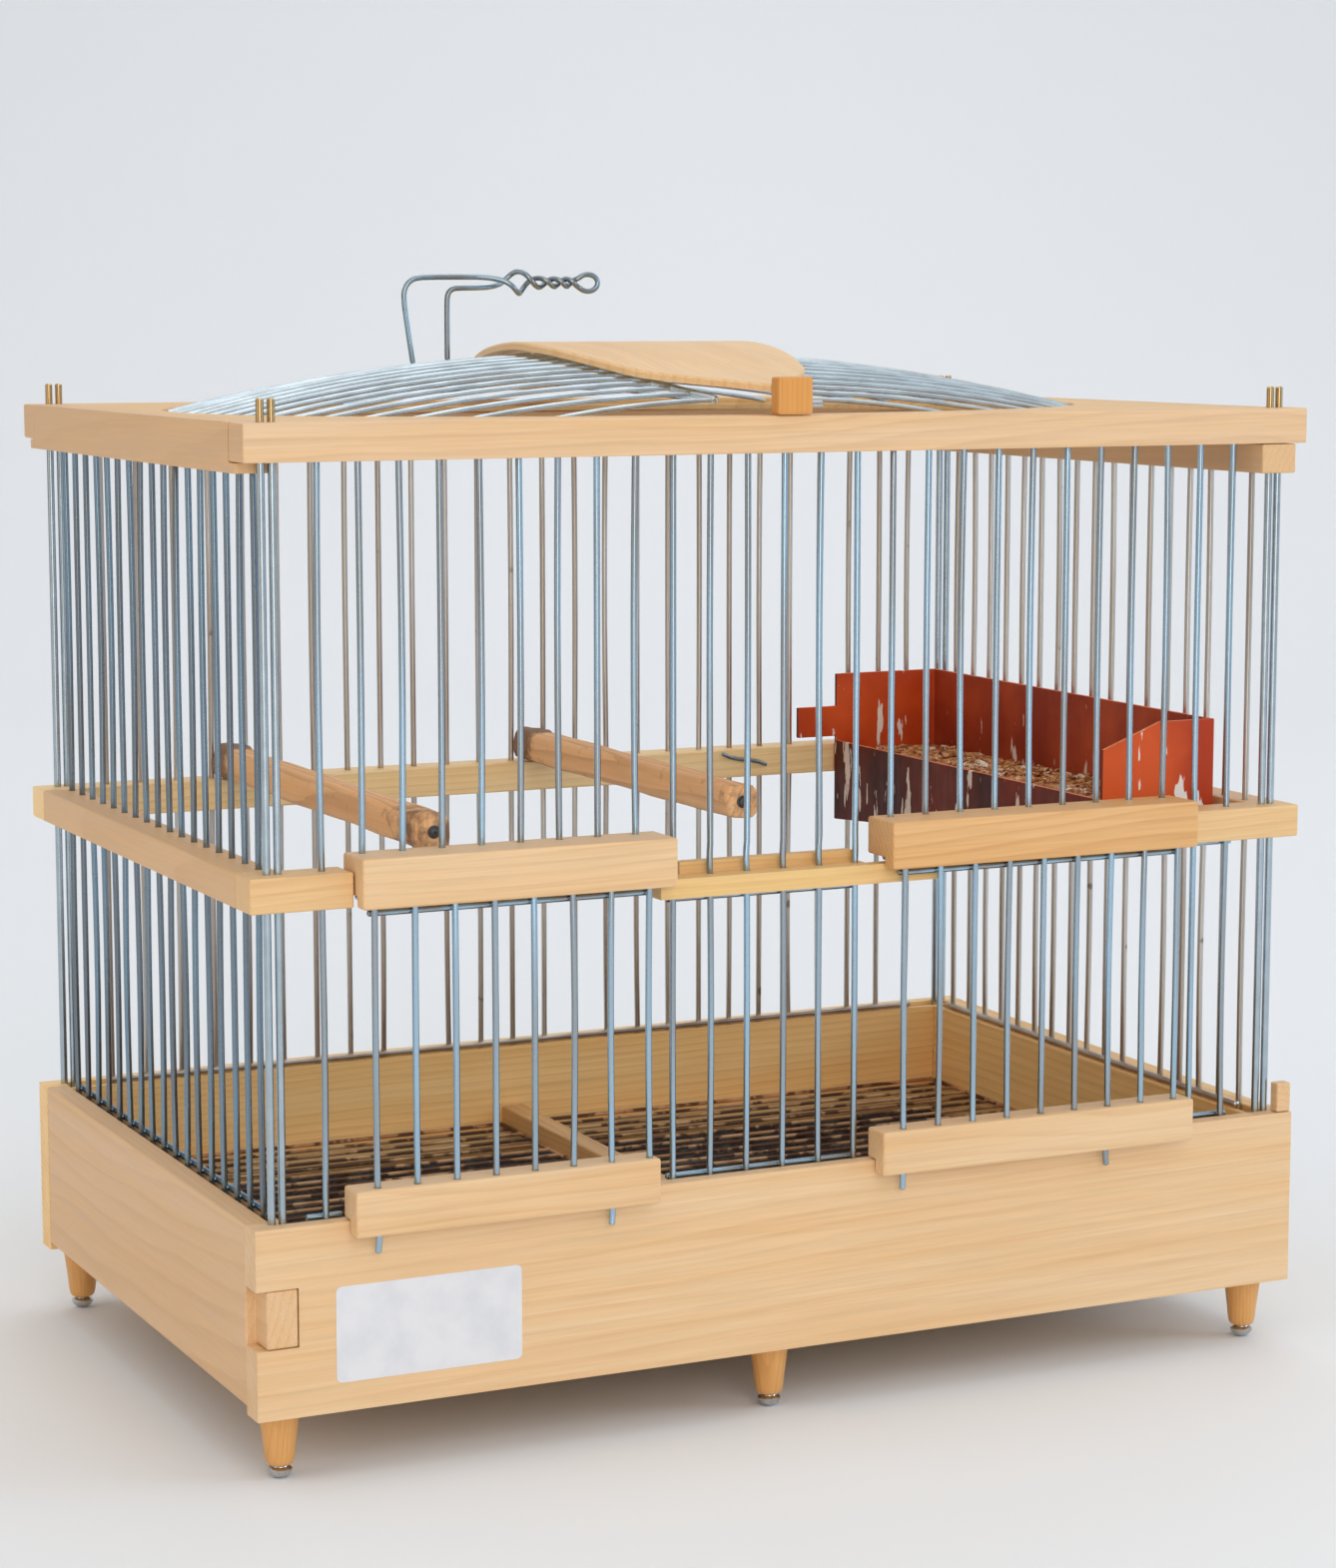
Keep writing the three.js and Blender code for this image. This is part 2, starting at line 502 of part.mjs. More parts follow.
// The centre rail sits lower, with a raised back edge; its thin right end runs on under the
// right door's upper bar.
const centreX = pastWires([centreWires[0], centreWires[centreWires.length - 1]], CENTRE_PAST);
const ledgeSpan = [centreRailZ, centreRailZ + CENTRE_LEDGE_HEIGHT];
const centreRail = join([
  box(...centreX, 0, RAIL_WIDTH, ...ledgeSpan),
  box(centreX[0] + CENTRE_BACK_INSET[0], centreX[1] - CENTRE_BACK_INSET[1], RAIL_WIDTH - CENTRE_BACK_THICK,
    RAIL_WIDTH, centreRailZ, centreRailZ + CENTRE_BACK_HEIGHT),
  box(centreX[1] - 1, centreX[1] + CENTRE_TONGUE, 0, CENTRE_TONGUE_WIDTH, ...ledgeSpan),
]);
add('mid_rail_front_centre', cut(centreRail,
  frontHoles(centreWires, FRONT_LINE, centreRailZ - 1, midTop)), pineRail);

// ---------------------------------------------------------------- top rails
const seatZ = topTop - ROOF_BOARD_THICK;
const seatX = [RAIL_WIDTH - BOARD_SEAT, LENGTH - RIGHT_RAIL_INSET - RAIL_WIDTH + BOARD_SEAT];
const seatY = [RAIL_WIDTH - BOARD_SEAT, DEPTH - RAIL_WIDTH + BOARD_SEAT];
const roofSeat = box(...seatX, ...seatY, seatZ - GAP, topTop + 1);
const grooveHalf = r + GAP;

const topLeftX = [0, RAIL_WIDTH];
const topRightX = [LENGTH - RIGHT_RAIL_INSET - RAIL_WIDTH, LENGTH - RIGHT_RAIL_INSET];
const socketSpan = [topZ, seatZ];
const topSockets = [topLeftX, topRightX].flatMap((xs) => tenonSockets(...xs, ...socketSpan));

function longTopRail(y0, line) {
  const groove = box(FIRST_FRONT_WIRE - GROOVE_PAST, LENGTH - FIRST_FRONT_WIRE + GROOVE_PAST,
    line - grooveHalf, line + grooveHalf, topZ - 1, topZ + GROOVE_DEPTH);
  return cut(box(0, LENGTH, y0, y0 + RAIL_WIDTH, topZ, topTop),
    [groove, roofSeat, ...topSockets, ...rodHoles]);
}

add('top_rail_front', longTopRail(0, FRONT_LINE), pineRail);
add('top_rail_back', longTopRail(DEPTH - RAIL_WIDTH, backLine), pineRail);

// Side rails are deeper; the right one's lower part runs on under the front and back rails.
function sideTopRail(xs, line, drop, reach) {
  const low = topZ - drop;
  const groove = box(line - grooveHalf, line + grooveHalf, FIRST_SIDE_WIRE - GROOVE_PAST,
    DEPTH - FIRST_SIDE_WIRE + GROOVE_PAST, low - 1, low + GROOVE_DEPTH);
  const third = (seatZ - topZ) / 3;
  const tenon = box(xs[0] + TENON_SHOULDER, xs[1] - TENON_SHOULDER, railEnds[0] - STUB_TENON,
    railEnds[1] + STUB_TENON, topZ + third, seatZ - third);
  const lower = box(...xs, reach, DEPTH - reach, low, topZ - GAP);
  const upper = box(...xs, ...railEnds, low, topTop);
  return cut(join([upper, lower, tenon]), [groove, roofSeat, ...rodHoles]);
}

add('top_rail_left', sideTopRail(topLeftX, SIDE_LINE, LEFT_RAIL_DROP, LEFT_RAIL_REACH), pineRail);
add('top_rail_right', sideTopRail(topRightX, LENGTH - SIDE_LINE, RIGHT_RAIL_DROP, GAP), pineRail);

// ---------------------------------------------------------------- roof board
const roofY = DEPTH / 2;

function oval(halfLength, halfWidth, z0, z1, steps = 44) {
  const shape = new THREE.Shape(range(0, steps - 1).map((i) => {
    const a = 2 * Math.PI * i / steps;
    const bend = (v) => Math.sign(v) * Math.abs(v) ** (2 / ROOF_OVAL_POWER);
    return new THREE.Vector2(MIDDLE + halfLength * bend(Math.cos(a)),
      roofY + halfWidth * bend(Math.sin(a)));
  }));
  const geometry = new THREE.ExtrudeGeometry(shape, { depth: z1 - z0, bevelEnabled: false });
  return solid(geometry.translate(0, 0, z0));
}

const roofBoard = box(seatX[0] + GAP, seatX[1] - GAP, seatY[0] + GAP, seatY[1] - GAP, seatZ, topTop);
const rimZ = topTop - ROOF_RIM_DEPTH;
add('roof_board', cut(roofBoard, [
  oval(ROOF_HALF_LENGTH, ROOF_HALF_WIDTH, seatZ - 1, topTop + 1),
  oval(ROOF_HALF_LENGTH + ROOF_RIM, ROOF_HALF_WIDTH + ROOF_RIM, rimZ, topTop + 1),
]), pineRail);

// ---------------------------------------------------------------- roof wires and crown
const rr = ROOF_WIRE / 2;
const crownHeight = (y) => topTop + ROOF_RISE * (1 - Math.abs((y - roofY) / roofY) ** ROOF_SPINE_POWER);
const rimRoom = ROOF_RIM - rr - 2 * GAP;   // wire centres, out from the opening's edge
const ovalHalf = (y) => (ROOF_HALF_LENGTH + rimRoom)
  * (1 - Math.abs((y - roofY) / (ROOF_HALF_WIDTH + rimRoom)) ** ROOF_OVAL_POWER) ** (1 / ROOF_OVAL_POWER);
const crownHalf = (y) => CROWN_END_HALF
  + (CROWN_MID_HALF - CROWN_END_HALF) * (1 - ((y - roofY) / roofY) ** 2);
const rimRest = rimZ + GAP + rr;
const archZ = (x, y) => rimRest + (crownHeight(y) - RIDGE_WIRE / 2 - rimRest)
  * (1 - Math.abs(x / ovalHalf(y)) ** ROOF_ARCH_POWER);
const roofFirst = roofY - ROOF_HALF_WIDTH + 7;
const roofPitch = 2 * (roofY - roofFirst) / (ROOF_WIRES - 1);
const roofWireY = (k) => roofFirst + k * roofPitch;
const ridgeX = (y) => Math.max(crownHalf(y) - CROWN_LAP, RIDGE_WIRE);   // the ridge wires' line

for (const [side, way] of [['left', -1], ['right', 1]]) {
  for (const [row, first, last] of [['front', 0, ROOF_SPLIT - 1], ['back', ROOF_SPLIT, ROOF_WIRES - 1]]) {
    const arches = range(first, last).map((k) => {
      const y = roofWireY(k);
      const inner = ridgeX(y);
      const outer = ovalHalf(y) - 0.4;
      return tube(range(0, ROOF_STEPS).map((i) => {
        const x = way * (inner + (outer - inner) * Math.sin(Math.PI / 2 * i / ROOF_STEPS));
        return at(MIDDLE + x, y, archZ(x, y));
      }), rr);
    });
    const ridge = range(first, last).map((k) => {
      const x = way * ridgeX(roofWireY(k));
      return at(MIDDLE + x, roofWireY(k), archZ(x, roofWireY(k)));
    });
    ridge[0].y -= RIDGE_WIRE / 2;
    ridge[ridge.length - 1].y += RIDGE_WIRE / 2;
    add(`roof_wires_${side}_${row}`, join([tube(ridge, RIDGE_WIRE / 2), ...arches]), galvanised);
  }
}

// Crown board: bent over the wires' ends, boat-shaped in plan, its ends on the long rails.
const crownY = [RAIL_WIDTH - 2, DEPTH - RAIL_WIDTH + 2];
const crownUnder = (y) => crownHeight(y) + GAP;

function crownBoard(steps = 16) {
  const verts = [];
  const faces = [];
  range(0, steps).forEach((i) => {
    const y = crownY[0] + (crownY[1] - crownY[0]) * i / steps;
    const w = crownHalf(y);
    const z = crownUnder(y);
    for (const [x, dz] of [[-w, 0], [w, 0], [w, CROWN_THICK], [-w, CROWN_THICK]]) {
      verts.push(MIDDLE + x, y, z + dz);
    }
    if (i === steps) return;
    for (let s = 0; s < 4; s += 1) {
      const a = i * 4 + s;
      const b = i * 4 + (s + 1) % 4;
      faces.push(a, a + 4, b, b, a + 4, b + 4);
    }
  });
  const end = steps * 4;
  faces.push(0, 1, 2, 0, 2, 3, end, end + 2, end + 1, end, end + 3, end + 2);
  const geometry = new THREE.BufferGeometry();
  geometry.setAttribute('position', new THREE.Float32BufferAttribute(verts, 3));
  geometry.setIndex(faces);
  return solid(geometry);
}

add('crown_board', crownBoard(), pineRail);
const blockHalf = CROWN_BLOCK[0] / 2;
add('crown_block', box(MIDDLE - blockHalf, MIDDLE + blockHalf, -2, crownY[0] - GAP,
  topTop + GAP, topTop + GAP + CROWN_BLOCK[2]), beech);

// ---------------------------------------------------------------- hanger
// One unbroken wire: up from the left foot, over to the right, twisted round itself, round
// the eye, and back along the twist to the right foot.
const hr = HANGER_WIRE / 2;
const hangerY = roofWireY(HANGER_ROOF_WIRE);

function hangerPath() {
  const axisZ = topTop + HANGER_RISE;
  const feet = HANGER_FEET.map((x) => MIDDLE + x);
  const start = feet[1] + 12;
  const turns = 3.5;
  const steps = 8 * turns;
  const spread = (s) => hr + 0.45 + 0.8 * (1 - s) + 2.2 * Math.exp(-(((s - 0.3) / 0.16) ** 2));
  const strand = (phase) => range(0, steps).map((i) => {
    const s = i / steps;
    const a = phase + 2 * Math.PI * turns * s;
    return at(start + HANGER_TWIST * s, hangerY + spread(s) * Math.cos(a), axisZ + spread(s) * Math.sin(a));
  });
  const first = strand(Math.PI / 2);
  const second = strand(-Math.PI / 2);
  const eyeX = start + HANGER_TWIST + HANGER_EYE;
  const eye = range(1, 9).map((i) => {
    const a = Math.PI * (1 - i / 5) * 0.84;
    return at(eyeX + HANGER_EYE * Math.cos(a), hangerY, axisZ - HANGER_EYE * Math.sin(a));
  });
  const leg = (x, top, reach, lean) => {
    const curve = new THREE.QuadraticBezierCurve3(at(x + lean, hangerY, top.z - reach),
      at(x + lean, hangerY, top.z), at(x + lean + reach, hangerY, top.z));
    return [at(x, hangerY, archZ(x - MIDDLE, hangerY) + rr + GAP), ...curve.getPoints(4)];
  };
  return [...leg(feet[0], first[0], 8, -2), ...first, ...eye, ...second.reverse(),
    ...leg(feet[1], second[second.length - 1], 5, 0).reverse()];
}

function leastGap(path, radius, skip) {
  const dense = new THREE.CatmullRomCurve3(path).getSpacedPoints(500);
  let least = Infinity;
  for (let i = 0; i < dense.length; i += 1) {
    for (let j = i + skip; j < dense.length; j += 1) {
      least = Math.min(least, dense[i].distanceTo(dense[j]));
    }
  }
  return least - 2 * radius;
}

const hanger = hangerPath();
console.log(`hanger: least gap to itself ${leastGap(hanger, hr, 12).toFixed(2)} mm`);
add('hanger', tube(hanger, hr, 6), galvanised);

// ---------------------------------------------------------------- doors
for (const door of DOORS) {
  const ks = range(...door.wires);
  const lipBack = DOOR_LIP_THICK - DOOR_PROUD;
  const lowerZ = boardTop + GAP;
  const lowerTop = lowerZ + DOOR_LOWER_HEIGHT;
  const lipZ = boardTop - DOOR_LOWER_LIP;
  const upperLipZ = barBackZ - DOOR_UPPER_LIP;
  const upperTop = barBackZ + DOOR_UPPER_HEIGHT;
  const grip = upperLipZ + DOOR_WIRE_GRIP;
  const isPin = (k) => door.pins.includes(k);
  const wireFoot = (k) => (isPin(k) ? lipZ - DOOR_PIN : lipZ + 4);

  const lowerX = pastWires(door.wires, door.lowerPast);
  const lower = box(...lowerX, -DOOR_PROUD, DOOR_LOWER_BACK, lowerZ, lowerTop)
    .add(box(...lowerX, -DOOR_PROUD, lipBack, lipZ, lowerTop));
  add(`${door.name}_door_lower_bar`, cut(lower, ks.map((k) => wireHole(frontWireX(k), -DOOR_LINE,
    wireFoot(k) - GAP, lowerTop + 1))), pineRail);

  const upper = box(...upperBarX(door), -DOOR_PROUD, DOOR_UPPER_BACK, barBackZ, upperTop)
    .add(box(...upperBarX(door), -DOOR_PROUD, lipBack, upperLipZ, upperTop));
  add(`${door.name}_door_upper_bar`, cut(upper, [
    ...ks.map((k) => wireHole(frontWireX(k), -DOOR_LINE, upperLipZ - 1, grip + GAP)),
    ...frontHoles(ks, FRONT_LINE, barBackZ - 1, upperTop + 1),
  ]), pineRail);

  const uprights = ks.map((k) => upright(frontWireX(k), -DOOR_LINE, wireFoot(k), grip, r));
  const joinZ = upperLipZ - DOOR_JOIN_DROP;
  const cross = straight(at(frontWireX(ks[0]) - CROSS_PAST, -DOOR_LINE + joinOffset, joinZ),
    at(frontWireX(ks[ks.length - 1]) + CROSS_PAST, -DOOR_LINE + joinOffset, joinZ), r);
  add(`${door.name}_door_wires`, join([...uprights, cross]), galvanised);
}

// ---------------------------------------------------------------- perches
const perchZ = midTop + GAP + PERCH / 2;

function perchSection() {
  const half = PERCH / 2;
  const shape = new THREE.Shape();
  shape.moveTo(half - PERCH_CORNER, -half);
  shape.absarc(half - PERCH_CORNER, -half + PERCH_CORNER, PERCH_CORNER, -Math.PI / 2, 0);
  shape.absarc(half - PERCH_CORNER, half - PERCH_CORNER, PERCH_CORNER, 0, Math.PI / 2);
  shape.absarc(-half + PERCH_CORNER, half - PERCH_CORNER, PERCH_CORNER, Math.PI / 2, Math.PI);
  shape.absarc(-half + PERCH_CORNER, -half + PERCH_CORNER, PERCH_CORNER, Math.PI, Math.PI * 1.5);
  return shape;
}

for (const [name, x, front] of [['left', PERCH_LEFT_X, PERCH_LEFT_FRONT],
  ['right', LENGTH / 2, PERCH_RIGHT_FRONT]]) {
  const back = DEPTH - RAIL_WIDTH + PERCH_BACK_LAP;
  const bar = solid(new THREE.ExtrudeGeometry(perchSection(),
    { depth: back - front, bevelEnabled: false, curveSegments: 4 }).rotateX(Math.PI / 2));
  const screw = [PERCH_SCREW_RADIUS, PERCH_SCREW_RADIUS, PERCH_SCREW_DEPTH];
  const hole = solid(new THREE.CylinderGeometry(...screw, 8).translate(x, front, perchZ));
  add(`perch_${name}`, bar.translate([x, back, perchZ]).subtract(hole), bark);
}

// ---------------------------------------------------------------- seed trough
const troughX = [rightRailX[0] - TROUGH_ROOM - TROUGH_WIDTH, rightRailX[0] - TROUGH_ROOM];
const troughZ = [midZ - TROUGH_BELOW, midTop + TROUGH_ABOVE];
const lowWallZ = midTop + TROUGH_INNER;
const inX = [troughX[0] + TROUGH_WALL, troughX[1] - TROUGH_WALL];
const inY = [TROUGH_FRONT + TROUGH_WALL, TROUGH_BACK - TROUGH_WALL];
const shell = slopedBox(...troughX, TROUGH_FRONT, TROUGH_BACK, ...troughZ);
const inside = slopedBox(...inX, ...inY, troughZ[0] + TROUGH_WALL, troughZ[1] + 1);
const opened = box(troughX[0] - 1, inX[0] + 1, ...inY, lowWallZ, troughZ[1] + 1);
const [hookWidth, hookThick, hookReach] = TROUGH_HOOK;
const hooks = [TROUGH_FRONT + hookWidth, TROUGH_BACK - hookWidth].map((y) => (
  box(inX[1], rightRailX[0] + hookReach, y - 6, y + 6, midTop + GAP, midTop + GAP + hookThick)));
const tab = box(troughX[0] - TROUGH_TAB[0], troughX[0] + 1, TROUGH_BACK - TROUGH_WALL, TROUGH_BACK,
  midTop + 4, midTop + 4 + TROUGH_TAB[1]);
add('seed_trough', cut(join([shell, ...hooks, tab]), [inside, opened]), redPlastic);

function seedBed(cells = [4, 16]) {
  const floor = troughZ[0] + TROUGH_WALL + GAP;
  const top = lowWallZ - SEED_BELOW;
  const width = inX[1] - inX[0] - 2 * GAP;
  const length = inY[1] - inY[0] - 2 * GAP;
  const geometry = new THREE.BoxGeometry(width, length, top - floor, cells[0], cells[1], 1);
  geometry.translate((inX[0] + inX[1]) / 2, (inY[0] + inY[1]) / 2, (top + floor) / 2);
  const place = geometry.attributes.position;
  for (let i = 0; i < place.count; i += 1) {
    if (place.getZ(i) < top - 1) {
      place.setZ(i, floor + slopeAt(place.getY(i)));
      continue;
    }
    const u = place.getX(i) / 9;
    const v = place.getY(i) / 11;
    place.setZ(i, top - SEED_HEAP / 2 + SEED_HEAP / 2 * Math.sin(u + 1.3 * v) * Math.cos(v - 0.7 * u));
  }
  return solid(geometry);
}

add('seed_bed', seedBed(), seedMix);

// ---------------------------------------------------------------- origin
// The part stands on the floor at z = 0; x and y count from the middle of its outline.
const outline = new THREE.Box3().setFromObject(assembly);
const middle = outline.getCenter(new THREE.Vector3());
assembly.position.set(-middle.x, -middle.y, 0);

export default cage;
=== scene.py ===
import math
import random

import bmesh
import bpy
from mathutils import Matrix, Vector


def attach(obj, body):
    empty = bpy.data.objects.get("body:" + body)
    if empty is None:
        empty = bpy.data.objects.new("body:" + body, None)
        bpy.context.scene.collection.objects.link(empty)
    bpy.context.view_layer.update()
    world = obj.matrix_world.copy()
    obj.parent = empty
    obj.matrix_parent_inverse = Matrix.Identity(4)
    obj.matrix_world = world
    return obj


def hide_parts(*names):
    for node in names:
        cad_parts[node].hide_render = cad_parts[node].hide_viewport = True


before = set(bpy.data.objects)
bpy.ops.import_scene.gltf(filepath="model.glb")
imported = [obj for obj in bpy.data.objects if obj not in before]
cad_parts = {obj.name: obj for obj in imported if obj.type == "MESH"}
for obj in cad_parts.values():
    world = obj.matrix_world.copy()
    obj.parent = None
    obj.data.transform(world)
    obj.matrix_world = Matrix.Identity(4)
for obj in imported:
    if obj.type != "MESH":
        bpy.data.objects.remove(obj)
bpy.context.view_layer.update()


# ------------------------------------------------------------------ studio
# A studio sweep of matt pale grey paper, with broad soft lights from the front and left and a
# cooler, smaller one from the right. The camera stands where the photograph was taken.
def linear(hex_colour):
    """An sRGB hex colour as the linear one that a shader takes."""
    parts = [int(hex_colour[i:i + 2], 16) / 255 for i in (1, 3, 5)]
    return [c / 12.92 if c <= 0.04045 else ((c + 0.055) / 1.055) ** 2.4 for c in parts] + [1.0]


def feed(tree, node, inputs):
    """Gives a node's sockets their values, or links them to other nodes."""
    for key, value in inputs.items():
        if isinstance(value, bpy.types.Node):
            value = value.outputs[0]
        if isinstance(value, bpy.types.NodeSocket):
            tree.links.new(value, node.inputs[key])
        else:
            node.inputs[key].default_value = value


def add(tree, kind, settings=None, inputs=None, stops=()):
    """One shader node: its settings, its inputs and, for a ramp, its (place, colour) stops."""
    made = tree.nodes.new("ShaderNode" + kind)
    for key, value in (settings or {}).items():
        setattr(made, key, value)
    feed(tree, made, inputs or {})
    for n, (spot, colour) in enumerate(stops):
        if 0 < n < len(stops) - 1:
            stop = made.color_ramp.elements.new(spot)
        else:
            stop = made.color_ramp.elements[-1 if n else 0]
            stop.position = spot
        stop.color = linear(colour) if "#" in colour else colour
    return made


def finish_of(name):
    """An empty material, its node tree, its shader and the piece's own coordinates."""
    material = bpy.data.materials.new(name)
    material.use_nodes = True
    tree = material.node_tree
    tree.nodes.clear()
    shader = add(tree, "BsdfPrincipled")
    feed(tree, add(tree, "OutputMaterial"), {0: shader})
    return material, tree, shader, add(tree, "TexCoord").outputs["Object"]


def keep_object(name, data):
    thing = bpy.data.objects.new(name, data)
    bpy.context.scene.collection.objects.link(thing)
    return thing


def shaped(name, bm, crease=None):
    """The object made of bm, shaded smooth but for edges sharper than crease in degrees."""
    mesh = bpy.data.meshes.new(name)
    bm.to_mesh(mesh)
    bm.free()
    if crease:
        for face in mesh.polygons:
            face.use_smooth = True
        mesh.set_sharp_from_angle(angle=math.radians(crease))
    return keep_object(name, mesh)


# Matt background paper: no shine, and metre-wide clouds so faint that they only break the flatness.
sweep_paper, tree, shader, place = finish_of("matt_grey_studio_paper")
mottle = add(tree, "TexNoise", None, {"Vector": place, "Scale": 0.8, "Detail": 1.0})
tone = add(tree, "ValToRGB", None, {"Fac": mottle}, [(0.0, "#E8ECF1"), (1.0, "#EDF0F4")])
feed(tree, shader, {"Base Color": tone, "Roughness": 0.95})

# The paper hangs across the view behind the cage and runs forward under the camera.
FACING = -0.448                      # how far the camera is turned from the cage's front
WALL, CURVE, PAPER_HIGH, PAPER_HALF = 2.4, 1.2, 3.6, 9.0
turned_view = Matrix.Rotation(FACING, 4, "Z")
profile = [(y, 0.0) for y in (-4.0, -1.0, 0.0, 1.0, WALL)]
for step in range(1, 13):
    angle = step * math.pi / 24
    profile.append((WALL + CURVE * math.sin(angle), CURVE - CURVE * math.cos(angle)))
profile.append((WALL + CURVE, PAPER_HIGH))
bm = bmesh.new()
rows = [[bm.verts.new(turned_view @ Vector((x, y, z))) for x in (-PAPER_HALF, PAPER_HALF)]
        for y, z in profile]
for low, high in zip(rows, rows[1:]):
    bm.faces.new((low[0], low[1], high[1], high[0]))
sweep = shaped("studio_sweep", bm, 180)
sweep.data.materials.append(sweep_paper)

camera_data = bpy.data.cameras.new("camera")
camera_data.lens = 82.46
camera_data.sensor_width = 36
camera_data.clip_end = 50
camera = keep_object("camera", camera_data)
camera.location = (-0.6357, -1.3373, 0.4261)
camera.rotation_euler = (math.pi / 2 - 0.132, 0, FACING)
bpy.context.scene.camera = camera

# The room round the table: white above, pale blue from the window at the right, and dim and
# warm behind the camera, so that round wires show a dark side and a blue-white side.
world = bpy.data.worlds.new("soft_studio_air")
world.use_nodes = True
tree = world.node_tree
way = add(tree, "SeparateXYZ", None, {0: add(tree, "TexCoord").outputs["Generated"]}).outputs
turn = add(tree, "Math", {"operation": "MULTIPLY_ADD"}, {0: way[1], 1: 0.35, 2: way[0]})
side = add(tree, "MapRange", {"interpolation_type": "SMOOTHSTEP"}, {"Value": turn, 1: -0.35, 2: 0.6})
level = add(tree, "Mix", {"data_type": "RGBA"}, {0: side, 6: linear("#958A80"), 7: linear("#D6EAFC")})
over = add(tree, "MapRange", {"interpolation_type": "SMOOTHSTEP"}, {"Value": way[2], 1: 0.1, 2: 0.75})
air = add(tree, "Mix", {"data_type": "RGBA"}, {0: over, 6: level.outputs[2], 7: linear("#F4F3F0")})
feed(tree, tree.nodes["Background"], {"Color": air.outputs[2], "Strength": 0.82})
bpy.context.scene.world = world
bpy.context.scene.view_settings.view_transform = "Standard"

for name, place_at, aim, size, power, colour in (
        ("front_softbox", (-0.3, -2.4, 1.4), (0.0, 0.0, 0.15), 1.6, 12, "#FFF7EE"),
        ("low_front_fill", (-0.8, -2.6, 0.5), (0.0, 0.1, 0.12), 1.4, 15, "#FFF4E6"),
        ("left_fill", (-2.5, -0.4, 1.0), (0.0, 0.0, 0.15), 1.8, 10, "#FFEAD4"),
        ("right_window", (2.3, -1.3, 0.9), (0.0, 0.0, 0.22), 0.9, 14, "#C4DEF8"),
        ("overhead_panel", (0.2, -0.3, 2.6), (0.0, 0.0, 0.0), 1.8, 6.5, "#FFFFFF"),
        ("paper_wash", (1.1, 2.0, 3.2), (1.5, 3.3, 0.6), 2.2, 24, "#FAFCFF")):
    lamp_data = bpy.data.lights.new(name, "AREA")
    lamp_data.shape = "SQUARE"
    lamp_data.size = size
    lamp_data.energy = power
    lamp_data.color = linear(colour)[:3]
    lamp = keep_object(name, lamp_data)
    lamp.location = place_at
    lamp.rotation_euler = (Vector(aim) - Vector(place_at)).to_track_quat("-Z", "Y").to_euler()
    lamp.visible_camera = False


# ------------------------------------------------------------------ base box
# Four pine boards on edge, the side boards tenoned into the front and back ones; the front
# left tenon runs right through. Planed and varnished; a groove in the top edge takes the wires.
def at(x, y, z):
    """A place counted in mm from the front board's lower left corner on the floor."""
    return Vector(((x - 225) / 1000, (y - 140.5) / 1000, z / 1000))


